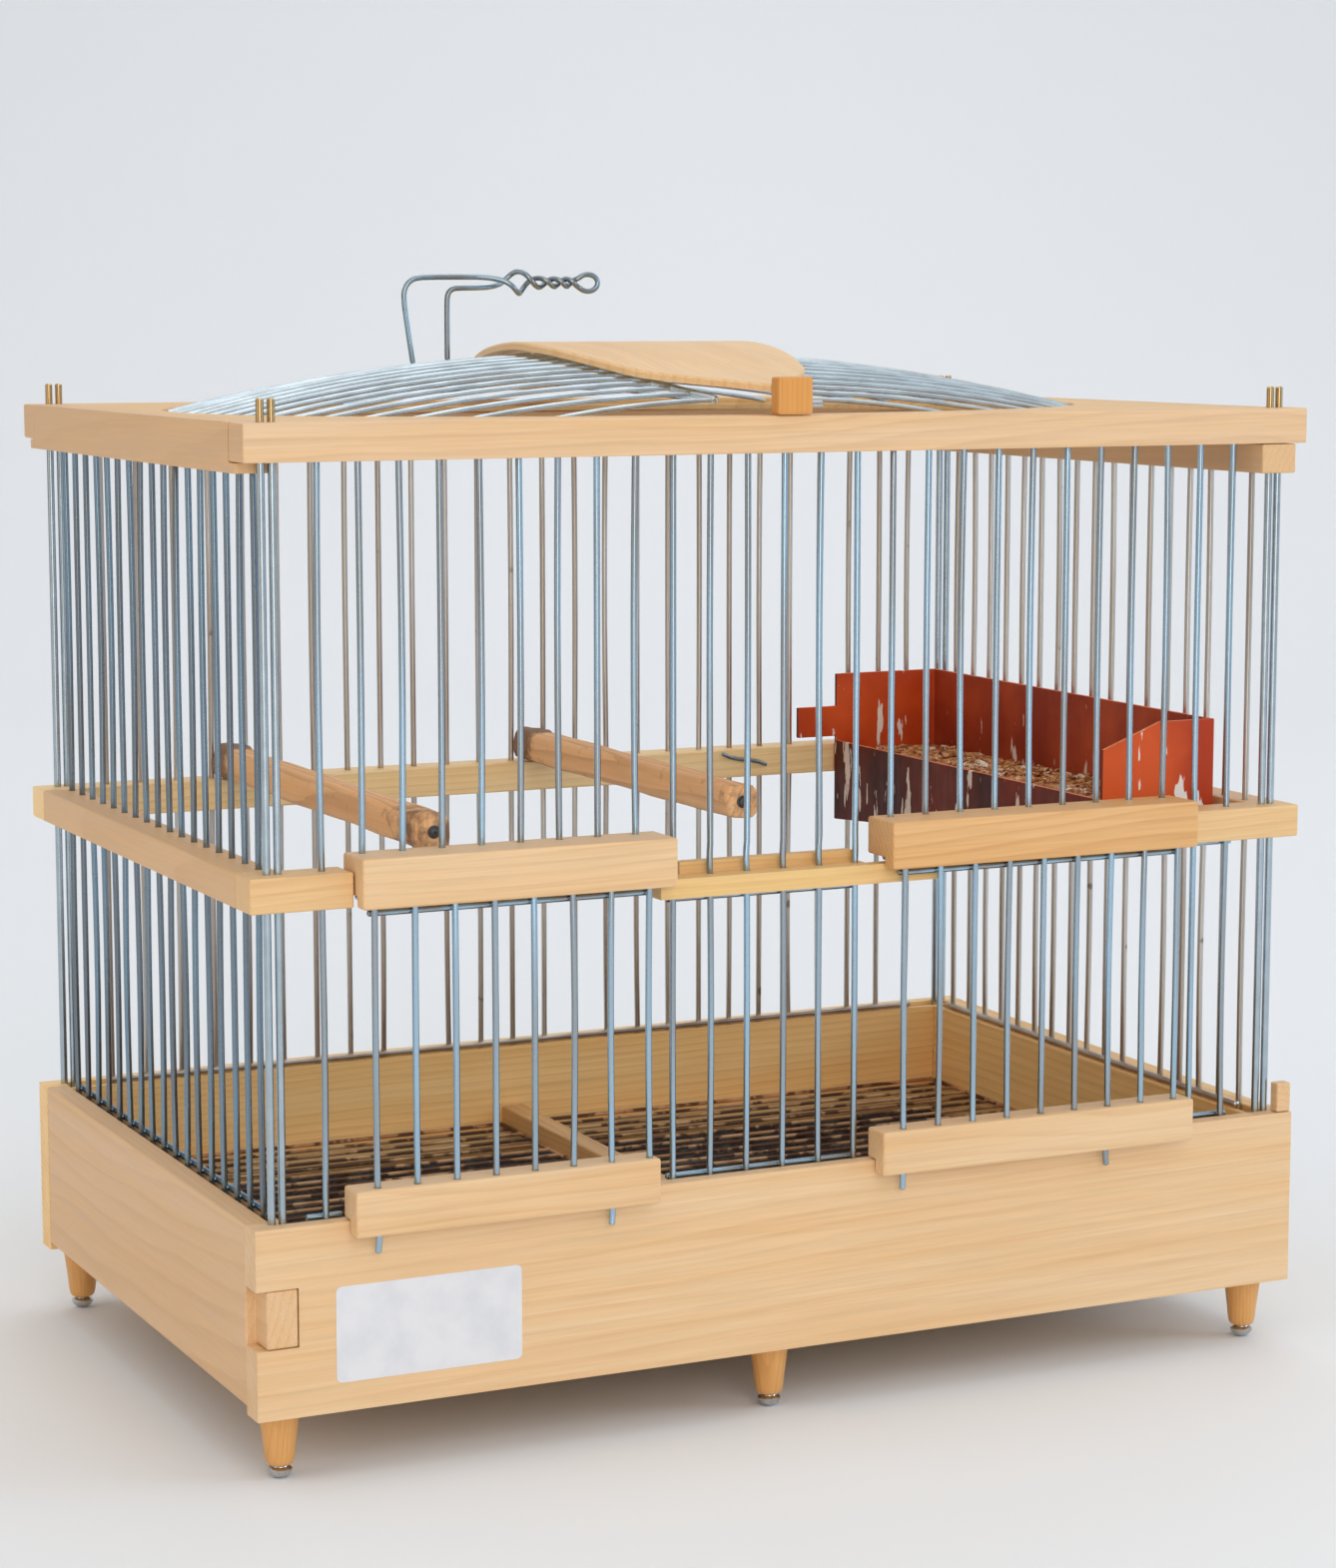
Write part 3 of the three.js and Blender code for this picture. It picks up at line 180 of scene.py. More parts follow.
def timber(name, along="X", pale="#E9C9A0", line="#CB9C6A", ring=2.3, pith=(0.0, 0.030, 0.055), tilt=0.012,
           strength=0.34, shine=0.44, warm="#E3B780"):
    """Sawn wood: growth rings in mm round a pith outside the piece, and fine long fibres."""
    material, tree, shader, place = finish_of(name)
    turns = {"X": (0, tilt, tilt), "Y": (tilt, 0, tilt - math.pi / 2), "Z": (0, math.pi / 2 + tilt, tilt)}
    grain = add(tree, "Mapping", None, {"Vector": place, "Rotation": turns[along], "Location": pith})
    flat = add(tree, "VectorMath", {"operation": "MULTIPLY"}, {0: grain, 1: (0.16, 1, 1)})
    drift = add(tree, "TexNoise", None, {"Vector": flat, "Scale": 26.0, "Detail": 2.0, "Roughness": 0.45})
    shift = add(tree, "VectorMath", {"operation": "MULTIPLY_ADD"},
                {0: drift.outputs["Color"], 1: (0.0, 0.011, 0.011), 2: flat})
    # A rings texture repeats every 0.314 units, so that over the ring width in metres is its scale.
    rings = add(tree, "TexWave", {"wave_type": "RINGS", "rings_direction": "X", "wave_profile": "SAW"},
                {"Vector": shift, "Scale": 0.314 / (ring / 1000), "Distortion": 0.5, "Detail": 2.0,
                 "Detail Scale": 1.2})
    late = add(tree, "ValToRGB", None, {"Fac": rings.outputs["Fac"]},
               [(0.0, (0.25, 0.25, 0.25, 1)), (0.12, (0.0, 0.0, 0.0, 1)), (0.62, (0.3, 0.3, 0.3, 1)),
                (0.88, (1, 1, 1, 1))])
    # Fibres about 0.9 mm across, drawn coarser than real ones so that they show.
    stretched = add(tree, "VectorMath", {"operation": "MULTIPLY"}, {0: grain, 1: (16, 1100, 1100)})
    fibres = add(tree, "TexNoise", None, {"Vector": stretched, "Scale": 1.0, "Detail": 3.0, "Roughness": 0.6})
    # Warmer streaks about 14 mm across and 290 mm long, where the varnish lies thicker.
    wide = add(tree, "VectorMath", {"operation": "MULTIPLY"}, {0: grain, 1: (3.5, 70, 70)})
    patches = add(tree, "TexNoise", None, {"Vector": wide, "Scale": 1.0, "Detail": 4.0, "Roughness": 0.62})
    body = add(tree, "MapRange", None, {"Value": patches, 1: 0.34, 2: 0.68, 3: 0.0, 4: 0.75})
    ground = add(tree, "Mix", {"data_type": "RGBA"}, {0: body, 6: linear(pale), 7: linear(warm)}).outputs[2]
    weight = add(tree, "MapRange", None,
                 {"Value": patches, 1: 0.25, 2: 0.75, 3: strength * 0.45, 4: strength})
    lines = add(tree, "Math", {"operation": "MULTIPLY"}, {0: late, 1: weight})
    ringed = add(tree, "Mix", {"data_type": "RGBA"}, {0: lines, 6: ground, 7: linear(line)}).outputs[2]
    streak = add(tree, "MapRange", None, {"Value": fibres, 1: 0.3, 2: 0.7, 3: 0.92, 4: 1.04})
    colour = add(tree, "VectorMath", {"operation": "SCALE"}, {0: ringed, "Scale": streak})
    gloss = add(tree, "MapRange", None, {"Value": fibres, 1: 0.3, 2: 0.7, 3: shine - 0.06, 4: shine + 0.12})
    height = add(tree, "Math", {"operation": "MULTIPLY_ADD"}, {0: lines, 1: 0.6, 2: fibres})
    bump = add(tree, "Bump", None, {"Height": height, "Strength": 0.22, "Distance": 0.0004})
    feed(tree, shader, {"Base Color": colour, "Roughness": gloss, "Normal": bump, "IOR": 1.5})
    return material


def box_mesh(name, blocks):
    bm = bmesh.new()
    for x0, x1, y0, y1, z0, z1 in blocks:
        v = [bm.verts.new(at(x, y, z)) for x in (x0, x1) for y in (y0, y1) for z in (z0, z1)]
        for f in ((0, 1, 3, 2), (4, 6, 7, 5), (0, 4, 5, 1), (2, 3, 7, 6), (0, 2, 6, 4), (1, 5, 7, 3)):
            bm.faces.new([v[i] for i in f])
    return shaped(name, bm)


def settle(piece):
    """Makes the piece's modifiers part of its mesh."""
    settled = bpy.data.meshes.new_from_object(piece.evaluated_get(bpy.context.evaluated_depsgraph_get()))
    piece.modifiers.clear()
    piece.data = settled


def combine(piece, tool, how):
    step = piece.modifiers.new("joint", "BOOLEAN")
    step.operation = how
    step.object = tool
    step.solver = "EXACT"
    settle(piece)
    bpy.data.objects.remove(tool)


def drill(piece, holes, radius=1.5):
    """holes: (x, y, lowest z, highest z) in mm."""
    bm = bmesh.new()
    for x, y, z0, z1 in holes:
        made = bmesh.ops.create_cone(bm, cap_ends=True, segments=12, radius1=radius / 1000,
                                     radius2=radius / 1000, depth=(z1 - z0) / 1000)
        bmesh.ops.translate(bm, verts=made["verts"], vec=at(x, y, (z0 + z1) / 2))
    combine(piece, shaped("drill", bm), "DIFFERENCE")


def soften(piece, edge, segments=2):
    """Breaks the sharp edges, as sandpaper does; edge in mm."""
    step = piece.modifiers.new("edge", "BEVEL")
    step.width = edge / 1000
    step.segments = segments
    step.limit_method = "ANGLE"
    step.angle_limit = math.radians(32)
    settle(piece)


def wooden(name, blocks, cuts=(), holes=(), edge=0.7):
    """A planed piece: blocks joined, cut, its edges broken, then drilled."""
    piece = box_mesh(name, blocks[:1])
    for block in blocks[1:]:
        combine(piece, box_mesh("block", [block]), "UNION")
    for cut in cuts:
        combine(piece, box_mesh("cut", [cut]), "DIFFERENCE")
    soften(piece, edge)
    if holes:
        drill(piece, holes)
    return piece


def fit(piece, material, body, slot, *nodes):
    """Gives the piece its finish and its place among the frame's bodies and nodes."""
    piece.data.materials.clear()
    piece.data.materials.append(material)
    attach(piece, body)
    if nodes:
        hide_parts(*nodes)
    return piece


LENGTH, DEPTH = 450, 280
BOARD = (26, 97)                     # the boards' lower and upper edges
FRONT_IN, BACK_IN, LEFT_IN, RIGHT_IN = 12, 268, 16, 434
CLEAT = (52, 59.4)                   # the strip inside that carries the floor
MORTISE, TENON = (52.2, 74.3), (52.5, 74)
GROOVE, LIP = (85, 98), (95.5, 98)   # the groove's depth, and the lower edge inside it
CORNER_X, CORNER_Y = (11, 439), (7.5, 272.5)
ROD_HALF = 2.1                       # from a corner rod's middle to each of its legs
rod_holes = [(x + leg, y, 20, 400) for x in CORNER_X for y in CORNER_Y for leg in (-ROD_HALF, ROD_HALF)]

# Straw-coloured softwood under satin varnish: soft ring lines. Inside the box the back and right boards take
# a warmer, golden tone that is also painted paler than the front's: painted light, standing in for light the
# inside of the box lacks.
front_pine = timber("varnished_pine_front_board", "X", pith=(0.0, 0.020, 0.050), ring=4.2, strength=0.26)
back_pine_painted_bright = timber("pine_back_board_painted_brighter", "X", pith=(0.3, -0.210, 0.070), ring=3.0, pale="#FFD998",
                   warm="#F6C47A")
side_pine = timber("varnished_pine_side_boards", "Y", pith=(0.1, 0.190, 0.060), ring=3.1, pale="#E4C097")
golden_pine_painted_bright = timber("golden_pine_board_painted_brighter", "Y", pith=(0.1, 0.120, 0.060), ring=3.6, pale="#FBD493",
                   line="#BF8A4C", warm="#EFBB72")

front_board = wooden(
    "front_board", [(0, LENGTH, 0, FRONT_IN, *BOARD), (16.3, 433.7, FRONT_IN - 1, 20, *CLEAT)],
    [(-1, 16.3, -1, 13, *MORTISE), (433.7, 446.3, 3.7, 13, *MORTISE),
     (9.4, 440.6, 6.4, 9.6, *GROOVE), (9.4, 440.6, 9.5, 13, *LIP)], rod_holes, 0.8)
fit(front_board, front_pine, "cage", "pine_boards", "base_front_board")
back_board = wooden(
    "back_board", [(0, LENGTH, BACK_IN, DEPTH, *BOARD), (16.3, 433.7, 260, BACK_IN + 1, *CLEAT)],
    [(3.7, 16.3, 267, 276.3, *MORTISE), (433.7, 446.3, 267, 276.3, *MORTISE),
     (9.4, 440.6, 270.4, 273.6, *GROOVE), (9.4, 440.6, 267, 270.5, *LIP), (17, 433, 267, 281, 31, 50)],
    rod_holes, 0.8)
fit(back_board, back_pine_painted_bright, "cage", "pine_boards", "base_back_board")
for side, x0, x1, tenon, groove, lip, wood in (
        ("left", 0, LEFT_IN, (4, 16, 0.2, 276), (9.4, 12.7), (12.6, 17), side_pine),
        ("right", RIGHT_IN, LENGTH, (434, 446, 4, 276), (437.3, 440.6), (433, 437.4), golden_pine_painted_bright)):
    board = wooden(side + "_board", [(x0, x1, 12.1, 267.9, 29, 97), (*tenon, *TENON)],
                   [(*groove, -1, 281, *GROOVE), (*lip, -1, 281, *LIP)], rod_holes, 0.7)
    fit(board, wood, "cage", "pine_boards", f"base_{side}_board")

corner_block = wooden("corner_block", [(442.9, 449.5, 0.3, 5.3, 97.3, 109.3)], edge=0.6)
fit(corner_block, side_pine, "cage", "pine_boards", "corner_block")

# Plywood bottom, rubbed thin and left raw, let in between the boards: broad flat figure, no shine.
raw_plywood = timber("raw_birch_plywood", "X", pale="#C9A173", line="#A97C4C", ring=9.0, pith=(0, 0.01, 0.4),
                     strength=0.35, shine=0.7)
bottom = wooden("bottom_panel", [(16.3, 433.7, 12.3, 267.7, 26, 30.7)], edge=0.3)
fit(bottom, raw_plywood, "cage", "plywood", "base_bottom_panel")


# ------------------------------------------------------------------ label
# The paper label pasted on the front board: thin glossy white stock, cut with rounded
# corners. It is left blank.
def plate(name, x0, x1, z0, z1, thick, corner, steps=6):
    """A thin rounded plate standing on the front face."""
    bm = bmesh.new()
    outline = []
    for cx, cz, start in ((x1 - corner, z1 - corner, 0), (x0 + corner, z1 - corner, 1),
                          (x0 + corner, z0 + corner, 2), (x1 - corner, z0 + corner, 3)):
        for i in range(steps + 1):
            a = math.pi / 2 * (start + i / steps)
            outline.append((cx + corner * math.cos(a), cz + corner * math.sin(a)))
    back = [bm.verts.new(at(x, 0, z)) for x, z in outline]
    face = [bm.verts.new(at(x, -thick, z)) for x, z in outline]
    bm.faces.new(back)
    bm.faces.new(face[::-1])
    for i in range(len(outline)):
        j = (i + 1) % len(outline)
        bm.faces.new((back[i], face[i], face[j], back[j]))
    bmesh.ops.recalc_face_normals(bm, faces=bm.faces)
    return shaped(name, bm)


# Coated paper: near white with a soft sheen, handled grey in clouds of 11 mm, cockled every 25 mm.
label_paper, tree, shader, place = finish_of("glossy_label_paper")
grime = add(tree, "TexNoise", None, {"Vector": place, "Scale": 90.0, "Detail": 4.0})
tone = add(tree, "ValToRGB", None, {"Fac": grime}, [(0.3, "#D6D9E0"), (0.6, "#E0E2E8")])
cockle = add(tree, "TexNoise", None, {"Vector": place, "Scale": 40.0, "Detail": 1.0})
bump = add(tree, "Bump", None, {"Height": cockle, "Strength": 0.15, "Distance": 0.001})
feed(tree, shader, {"Base Color": tone, "Normal": bump, "Roughness": 0.38})
fit(plate("blank_label", 30.5, 104, 37, 73, 0.18, 2.2), label_paper, "cage", "pine_boards")


# ------------------------------------------------------------------ feet
# Six turned hardwood legs under orange varnish, each with a domed nickelled steel glide
# driven into its end like a nail.
def skin(bm, rows, caps=True):
    """Faces between one ring of points and the next, where a ring may be a single point."""
    for low, high in zip(rows, rows[1:]):
        for i in range(max(len(low), len(high))):
            corners = [low[i % len(low)], low[(i + 1) % len(low)],
                       high[(i + 1) % len(high)], high[i % len(high)]]
            bm.faces.new(list(dict.fromkeys(corners)))
    if caps:
        bm.faces.new(rows[0][::-1])
        bm.faces.new(rows[-1])


def turned(name, profile, x=0, y=0, sides=40):
    """A piece off the lathe: profile is (radius, z) in mm, upwards, from point to point."""
    bm = bmesh.new()
    ring = [(math.cos(2 * math.pi * i / sides), math.sin(2 * math.pi * i / sides)) for i in range(sides)]
    rows = [[bm.verts.new(at(x + radius * c, y + radius * s, z))
             for c, s in (ring if radius else ring[:1])] for radius, z in profile]
    skin(bm, rows, caps=False)
    return shaped(name, bm, 35)


# Beech under orange varnish: closer figure, deeper and glossier than the pine.
orange_beech = timber("orange_varnished_beech", "Z", pale="#E2AA66", line="#C28545", ring=1.6,
                      pith=(0, 0.02, 0.03), strength=0.4, shine=0.34, warm="#D99D56")

# Nickel plate on pressed steel: a bright mirror, dulled by scuffs about 1.4 mm across.
nickelled_steel, tree, shader, place = finish_of("nickelled_steel_glide")
scuffs = add(tree, "TexNoise", None, {"Vector": place, "Scale": 700.0, "Detail": 3.0})
tone = add(tree, "ValToRGB", None, {"Fac": scuffs}, [(0.0, "#A9A8A6"), (1.0, "#DADADA")])
dull = add(tree, "MapRange", None, {"Value": scuffs, 1: 0.3, 2: 0.7, 3: 0.12, 4: 0.3})
feed(tree, shader, {"Base Color": tone, "Roughness": dull, "Metallic": 1.0})

LEG = [(0, 5.0), (3.4, 5.0), (4.4, 5.3), (5.1, 6.1), (5.5, 7.6), (5.8, 10), (6.2, 14), (6.8, 18.5),
       (7.3, 22.5), (7.6, 25), (7.6, 25.8), (0, 25.8)]
GLIDE = [(0, 0.0), (1.4, 0.1), (2.7, 0.6), (3.8, 1.5), (4.5, 2.7), (4.5, 3.5), (3.9, 4.1), (3.1, 4.4),
         (2.8, 5.1), (0, 5.1)]
for row, y in (("front", 14), ("back", 266)):
    for spot, x in (("left", 13), ("middle", 215), ("right", 437)):
        foot = f"{row}_{spot}"
        fit(turned("leg_" + foot, LEG, x, y), orange_beech, "cage", "turned_beech", "foot_" + foot)
        fit(turned("glide_" + foot, GLIDE, x, y), nickelled_steel, "cage", "bright_steel")


# ------------------------------------------------------------------ sand tray
# Folded from one zinc-coated sheet with its rim turned over a wire, screwed to a pine front
# that closes the slot in the back board and has a turned pull.

# Hot-dipped zinc: grey spangle about 9 mm across, under dark brown patches in heaps of about 14 mm: crumbs of
# dirt, and painted shade that darkens the tray seen under the grille.
zinc_sheet, tree, shader, place = finish_of("spangled_zinc_sheet")
spangle = add(tree, "TexVoronoi", None, {"Vector": place, "Scale": 110.0}).outputs["Color"]
tone = add(tree, "ValToRGB", None, {"Fac": spangle}, [(0.0, "#7D8487"), (1.0, "#A3A9AB")])
crumb_and_shade_noise = add(tree, "TexNoise", None, {"Vector": place, "Scale": 70.0, "Detail": 8.0, "Roughness": 0.78})
dirt_and_shade = add(tree, "MapRange", None, {"Value": crumb_and_shade_noise, 1: 0.4, 2: 0.62, 3: 0.25, 4: 0.92})
soiled = add(tree, "Mix", {"data_type": "RGBA"}, {0: dirt_and_shade, 6: tone.outputs[0], 7: linear("#5A4735")})
dull = add(tree, "MapRange", None, {"Value": spangle, 3: 0.38, 4: 0.6})
feed(tree, shader, {"Base Color": soiled.outputs[2], "Roughness": dull, "Metallic": 0.9})

tray = wooden("sand_tray_sheet", [(19, 431, 14, 267.7, 31.3, 45.2), (19, 431, 14, 267.7, 43.6, 45.8)],
              [(20.2, 429.8, 15.2, 266.5, 32.5, 50)], edge=0.4)
fit(tray, zinc_sheet, "tray", "zinc_sheet", "sand_tray")
tray_front = wooden("tray_front_board", [(17.3, 432.7, BACK_IN, DEPTH, 31.3, 49.7)], edge=0.9)
fit(tray_front, back_pine_painted_bright, "tray", "pine_boards", "tray_front")

PULL = [(0, 0), (3.2, 0), (3.0, 1.6), (3.2, 3.2), (4.6, 4.4), (6.2, 5.6), (7.0, 7.2), (6.6, 8.7), (5.2, 9.6),
        (3.0, 10.0), (0, 10.0)]


def laid(piece, place, angle):
    """Tips a turned piece over by that angle and sets its foot at the place."""
    tip = Matrix.Rotation(angle, 4, "X")
    piece.data.transform(Matrix.Translation(place) @ tip @ Matrix.Translation(-at(0, 0, 0)))
    return piece


pull = laid(turned("tray_pull", PULL), at(215, 279, 40.5), -math.pi / 2)
fit(pull, orange_beech, "tray", "turned_beech")


# ------------------------------------------------------------------ floor
# Two removable grilles of thin steel rods, gone brown with rust, on cleats inside the box,
# and the pine bar that parts them.
def wire(bm, points, radius, sides=10):
    """Sweeps a round wire of that radius in mm along points, with slightly closed ends."""
    points = [Vector(p) for p in points]
    radius /= 1000
    count = len(points)
    ways = [(points[min(i + 1, count - 1)] - points[max(i - 1, 0)]).normalized() for i in range(count)]
    inset, closed = radius * 0.35, 0.55
    spots = [(points[0], ways[0], closed), (points[0] + ways[0] * inset, ways[0], 1.0)]
    spots += [(points[i], ways[i], 1.0) for i in range(1, count - 1)]
    spots += [(points[-1] - ways[-1] * inset, ways[-1], 1.0), (points[-1], ways[-1], closed)]
    side = Vector((0, 0, 1)) if abs(ways[0].z) < 0.8 else Vector((1, 0, 0))
    rows = []
    for spot, way, share in spots:
        side = (side - way * side.dot(way)).normalized()
        other = way.cross(side)
        rows.append([bm.verts.new(spot + (side * math.cos(2 * math.pi * s / sides)
                                          + other * math.sin(2 * math.pi * s / sides)) * radius * share)
                     for s in range(sides)])
    skin(bm, rows)


def weld(bm, spot, radius=1.5):
    """The small swelling where two wires are welded."""
    made = bmesh.ops.create_icosphere(bm, subdivisions=1, radius=radius / 1000)
    bmesh.ops.translate(bm, verts=made["verts"], vec=spot)


def wires(name, paths, welds=()):
    """paths: (points, radius in mm)."""
    bm = bmesh.new()
    for points, radius in paths:
        wire(bm, points, radius)
    for spot in welds:
        weld(bm, spot)
    return shaped(name, bm, 50)


def wire_finish(name, blue, grey, stain, stain_share, rough, metallic=1.0):
    """Drawn steel wire: its tone changes over about 13 mm across and 140 mm along, with stains."""
    material, tree, shader, place = finish_of(name)
    long_way = add(tree, "VectorMath", {"operation": "MULTIPLY"}, {0: place, 1: (75, 75, 7)})
    tone = add(tree, "TexNoise", None, {"Vector": long_way, "Scale": 1.0, "Detail": 1.0})
    mixed = add(tree, "MapRange", None, {"Value": tone, 1: 0.4, 2: 0.6})
    base = add(tree, "Mix", {"data_type": "RGBA"}, {0: mixed, 6: linear(blue), 7: linear(grey)})
    specks = add(tree, "TexNoise", None, {"Vector": place, "Scale": 90.0, "Detail": 3.0})
    stained = add(tree, "MapRange", None, {"Value": specks, 1: 0.8 - stain_share, 2: 0.86 - stain_share})
    colour = add(tree, "Mix", {"data_type": "RGBA"}, {0: stained, 6: base.outputs[2], 7: linear(stain)})
    dull = add(tree, "MapRange", None, {"Value": specks, 1: 0.4, 2: 0.75, 3: rough, 4: rough + 0.08})
    feed(tree, shader, {"Base Color": colour.outputs[2], "Roughness": dull, "Metallic": metallic})
    return material


# Bare steel rod rusted by droppings: brown and half matt, with tan lights and darker runs.
rusty_wire = wire_finish("rusted_floor_wire", "#C9A27B", "#A87E58", "#5E4030", 0.32, 0.5, 0.4)
ROD_Z = 60.5
for side, x0, x1 in (("left", 17, 209.7), ("right", 220.3, 433)):
    rods = []
    for k in range(24):
        y = 14.2 + k * 10.97
        rods.append(([at(x0 + 0.8, y, ROD_Z), at((x0 + x1) / 2, y + 0.5 * math.sin(k * 2.1), ROD_Z - 0.1),
                      at(x1 - 0.8, y, ROD_Z)], 0.8))
    for x in (x0 + 0.8, x1 - 0.8):
        rods.append(([at(x, 12.6, ROD_Z), at(x, 267.4, ROD_Z)], 0.9))
    fit(wires(f"floor_rods_{side}", rods), rusty_wire, "cage", "rusted_wire", f"floor_grille_{side}")

# Pine with its varnish scratched away: greyer, with dirt in the ring lines.
worn_pine = timber("worn_pine_floor_bar", "Y", pale="#C9A06D", line="#8F6538", pith=(0, 0.03, 0.02))
divider = wooden("floor_bar", [(210, 220, 12.6, 267.4, 59.7, 68.7)], edge=0.8)
fit(divider, worn_pine, "cage", "pine_boards", "floor_divider")


# ------------------------------------------------------------------ wire walls
# Straightened 2.5 mm galvanised wires, standing in the groove of the boards, passing through
# the middle rails and ending in a groove of the top rails; a cross wire is welded behind.

# Fresh zinc: clean and bluish, one bright streak. The left wall's is a darker copy of it, painted shade; the
# back's is a paler, browner grey.
bluish_zinc = wire_finish("galvanised_wall_wire", "#A3BFD3", "#9AA3AA", "#6A6662", 0.0, 0.2)
shaded_zinc = wire_finish("galvanised_wire_painted_shade", "#7F95A6", "#77818A", "#5A5653", 0.0, 0.22)
greyed_zinc = wire_finish("pale_brown_grey_galvanised_wire", "#C6C1BB", "#B3A99F", "#8B7B6C", 0.1, 0.3)

WALL_WIRE = 1.25                     # the radius of a wall wire
BEHIND, WELD_AT = 2.2, 1.1           # from an upright's middle to the cross wire's, and to the weld
FOOT, CROSS_Z = 85.3, 97.25
FRONT_X = [30 + 15.6 * k for k in range(26)]
SIDE_Y = [22 + 14.75 * k for k in range(17)]
FRONT_Y, BACK_Y = 8, 272
sway = random.Random(7)


def standing(x, y, z0, z1, held=(97, 212, 225, 372)):
    """A wire that stands nearly straight, bowed a little between the rails that hold it."""
    stops = sorted({z0, z1, *[z for z in held if z0 < z < z1]})
    points = []
    for low, high in zip(stops, stops[1:]):
        lean_x, lean_y = sway.uniform(-0.55, 0.55), sway.uniform(-0.35, 0.35)
        for i in range(5):
            bow = math.sin(math.pi * i / 5)
            points.append(at(x + lean_x * bow, y + lean_y * bow, low + (high - low) * i / 5))
    return points + [at(x, y, z1)]


def crossing(p, q):
    return [p, p.lerp(q, 0.33), p.lerp(q, 0.66), q]


def wall_set(name, ks, z0, joins, y=FRONT_Y, inward=1, past=2):
    """Uprights number ks of the front or back, with a cross wire welded on at each height in joins."""
    paths = [(standing(FRONT_X[k], y, z0, 379.7), WALL_WIRE) for k in ks]
    spots = []
    for z in joins:
        line = y + inward * BEHIND
        ends = at(FRONT_X[ks[0]] - past, line, z), at(FRONT_X[ks[-1]] + past, line, z)
        paths.append((crossing(*ends), WALL_WIRE))
        spots += [at(FRONT_X[k], y + inward * WELD_AT, z) for k in ks]
    return wires(name, paths, spots)


fit(wall_set("front_wires_left_end", [0], FOOT, [CROSS_Z], past=7), bluish_zinc, "cage", "galvanised_wire",
    "front_wires_left")
fit(wall_set("front_wires_middle", range(9, 15), FOOT, [CROSS_Z, 204.45]), bluish_zinc, "cage",
    "galvanised_wire", "front_wires_centre")
fit(wall_set("front_wires_right_end", [24, 25], FOOT, [CROSS_Z, 210.45], past=4), bluish_zinc, "cage",
    "galvanised_wire", "front_wires_right")
for side, ks in (("left", range(1, 9)), ("right", range(15, 24))):
    fit(wall_set(f"wires_over_{side}_door", ks, 212.2, [214.45]), bluish_zinc, "cage", "galvanised_wire",
        f"front_wires_over_{side}_door")
fit(wall_set("back_wires", range(26), FOOT, [CROSS_Z], BACK_Y, -1), greyed_zinc, "cage", "galvanised_wire",
    "back_wire_wall")
for side, x, inward, top, zinc in (("left", 11, 1, 375.7, shaded_zinc),
                                   ("right", 439, -1, 367.7, greyed_zinc)):
    paths = [(standing(x, y, FOOT, top), WALL_WIRE) for y in SIDE_Y]
    line = x + inward * BEHIND
    paths.append((crossing(at(line, 20, CROSS_Z), at(line, 260, CROSS_Z)), WALL_WIRE))
    spots = [at(x + inward * WELD_AT, y, CROSS_Z) for y in SIDE_Y]
    fit(wires(f"{side}_wires", paths, spots), zinc, "cage", "galvanised_wire", f"{side}_wire_wall")


# ------------------------------------------------------------------ corner rods
# One nickelled rod in each corner, bent into a staple and driven up through base, middle rail
# and top rail. Plated steel: smooth and pale blue-grey, worn to a brassy tan on the two tips.
plated_rod, tree, shader, place = finish_of("nickelled_rod_with_brassy_tips")
wear = add(tree, "TexNoise", None, {"Vector": place, "Scale": 120.0, "Detail": 3.0})
steel = add(tree, "ValToRGB", None, {"Fac": wear}, [(0.0, "#9BA8B1"), (1.0, "#B9C8D2")])
level = add(tree, "SeparateXYZ", None, {0: place}).outputs[2]
tip = add(tree, "MapRange", None, {"Value": level, 1: 0.3855, 2: 0.3865})
tone = add(tree, "Mix", {"data_type": "RGBA"}, {0: tip, 6: steel.outputs[0], 7: linear("#BFA57A")})
feed(tree, shader, {"Base Color": tone.outputs[2], "Roughness": 0.22, "Metallic": 1.0})

ROD_TOP, ROD_FOOT = 394.5, 30.5
leg_heights = [ROD_TOP, 392, 380, 300, 200, 100]
for name, x, y in (("front_left", 11, 7.5), ("front_right", 439, 7.5), ("back_left", 11, 272.5),
                   ("back_right", 439, 272.5)):
    bend = [at(x + ROD_HALF * math.cos(math.pi + math.pi * i / 8), y,
               ROD_FOOT + ROD_HALF * math.sin(math.pi + math.pi * i / 8)) for i in range(9)]
    left = [at(x - ROD_HALF, y, z) for z in leg_heights]
    right = [at(x + ROD_HALF, y, z) for z in leg_heights[::-1]]
    rod = wires(f"corner_staple_{name}", [(left + bend + right, 1.5)])
    fit(rod, plated_rod, "cage", "bright_steel", f"corner_rod_{name}")


# ------------------------------------------------------------------ middle rails
# Planed pine strips half-way up, drilled for every wire; the front is in three lengths, with
# the doors' bars between them, and the middle one hangs lower with a raised back edge.

# Narrow-ringed pine, each strip from another stick: straw, tan, and yellow where varnish pooled. The back
# rail's copy is painted paler and brighter: painted light, standing in for the light it lacks in the shade at
# the back.
rail_x = timber("varnished_pine_rails_lengthways", "X", pale="#E9C590", ring=2.0, pith=(0.1, 0.04, -0.18))
rail_y = timber("varnished_pine_rails_crossways", "Y", pale="#E0B98C", ring=2.6, pith=(0.2, 0.27, -0.2))
back_rail_painted_bright = timber("pine_back_rail_painted_brighter", "X", pale="#FFE3AE", line="#DBA868", ring=2.2,
                     pith=(0.3, -0.2, -0.17), warm="#FFD796")
yellow_rail = timber("yellow_varnished_pine_rail", "X", pale="#EBC583", line="#CC9A55", ring=1.8,
                     pith=(0.4, 0.05, -0.19))
THROUGH, MID, RAIL_TENON = (211, 226), (212, 225), (216.333, 220.667)
RAIL_DEEP = 16
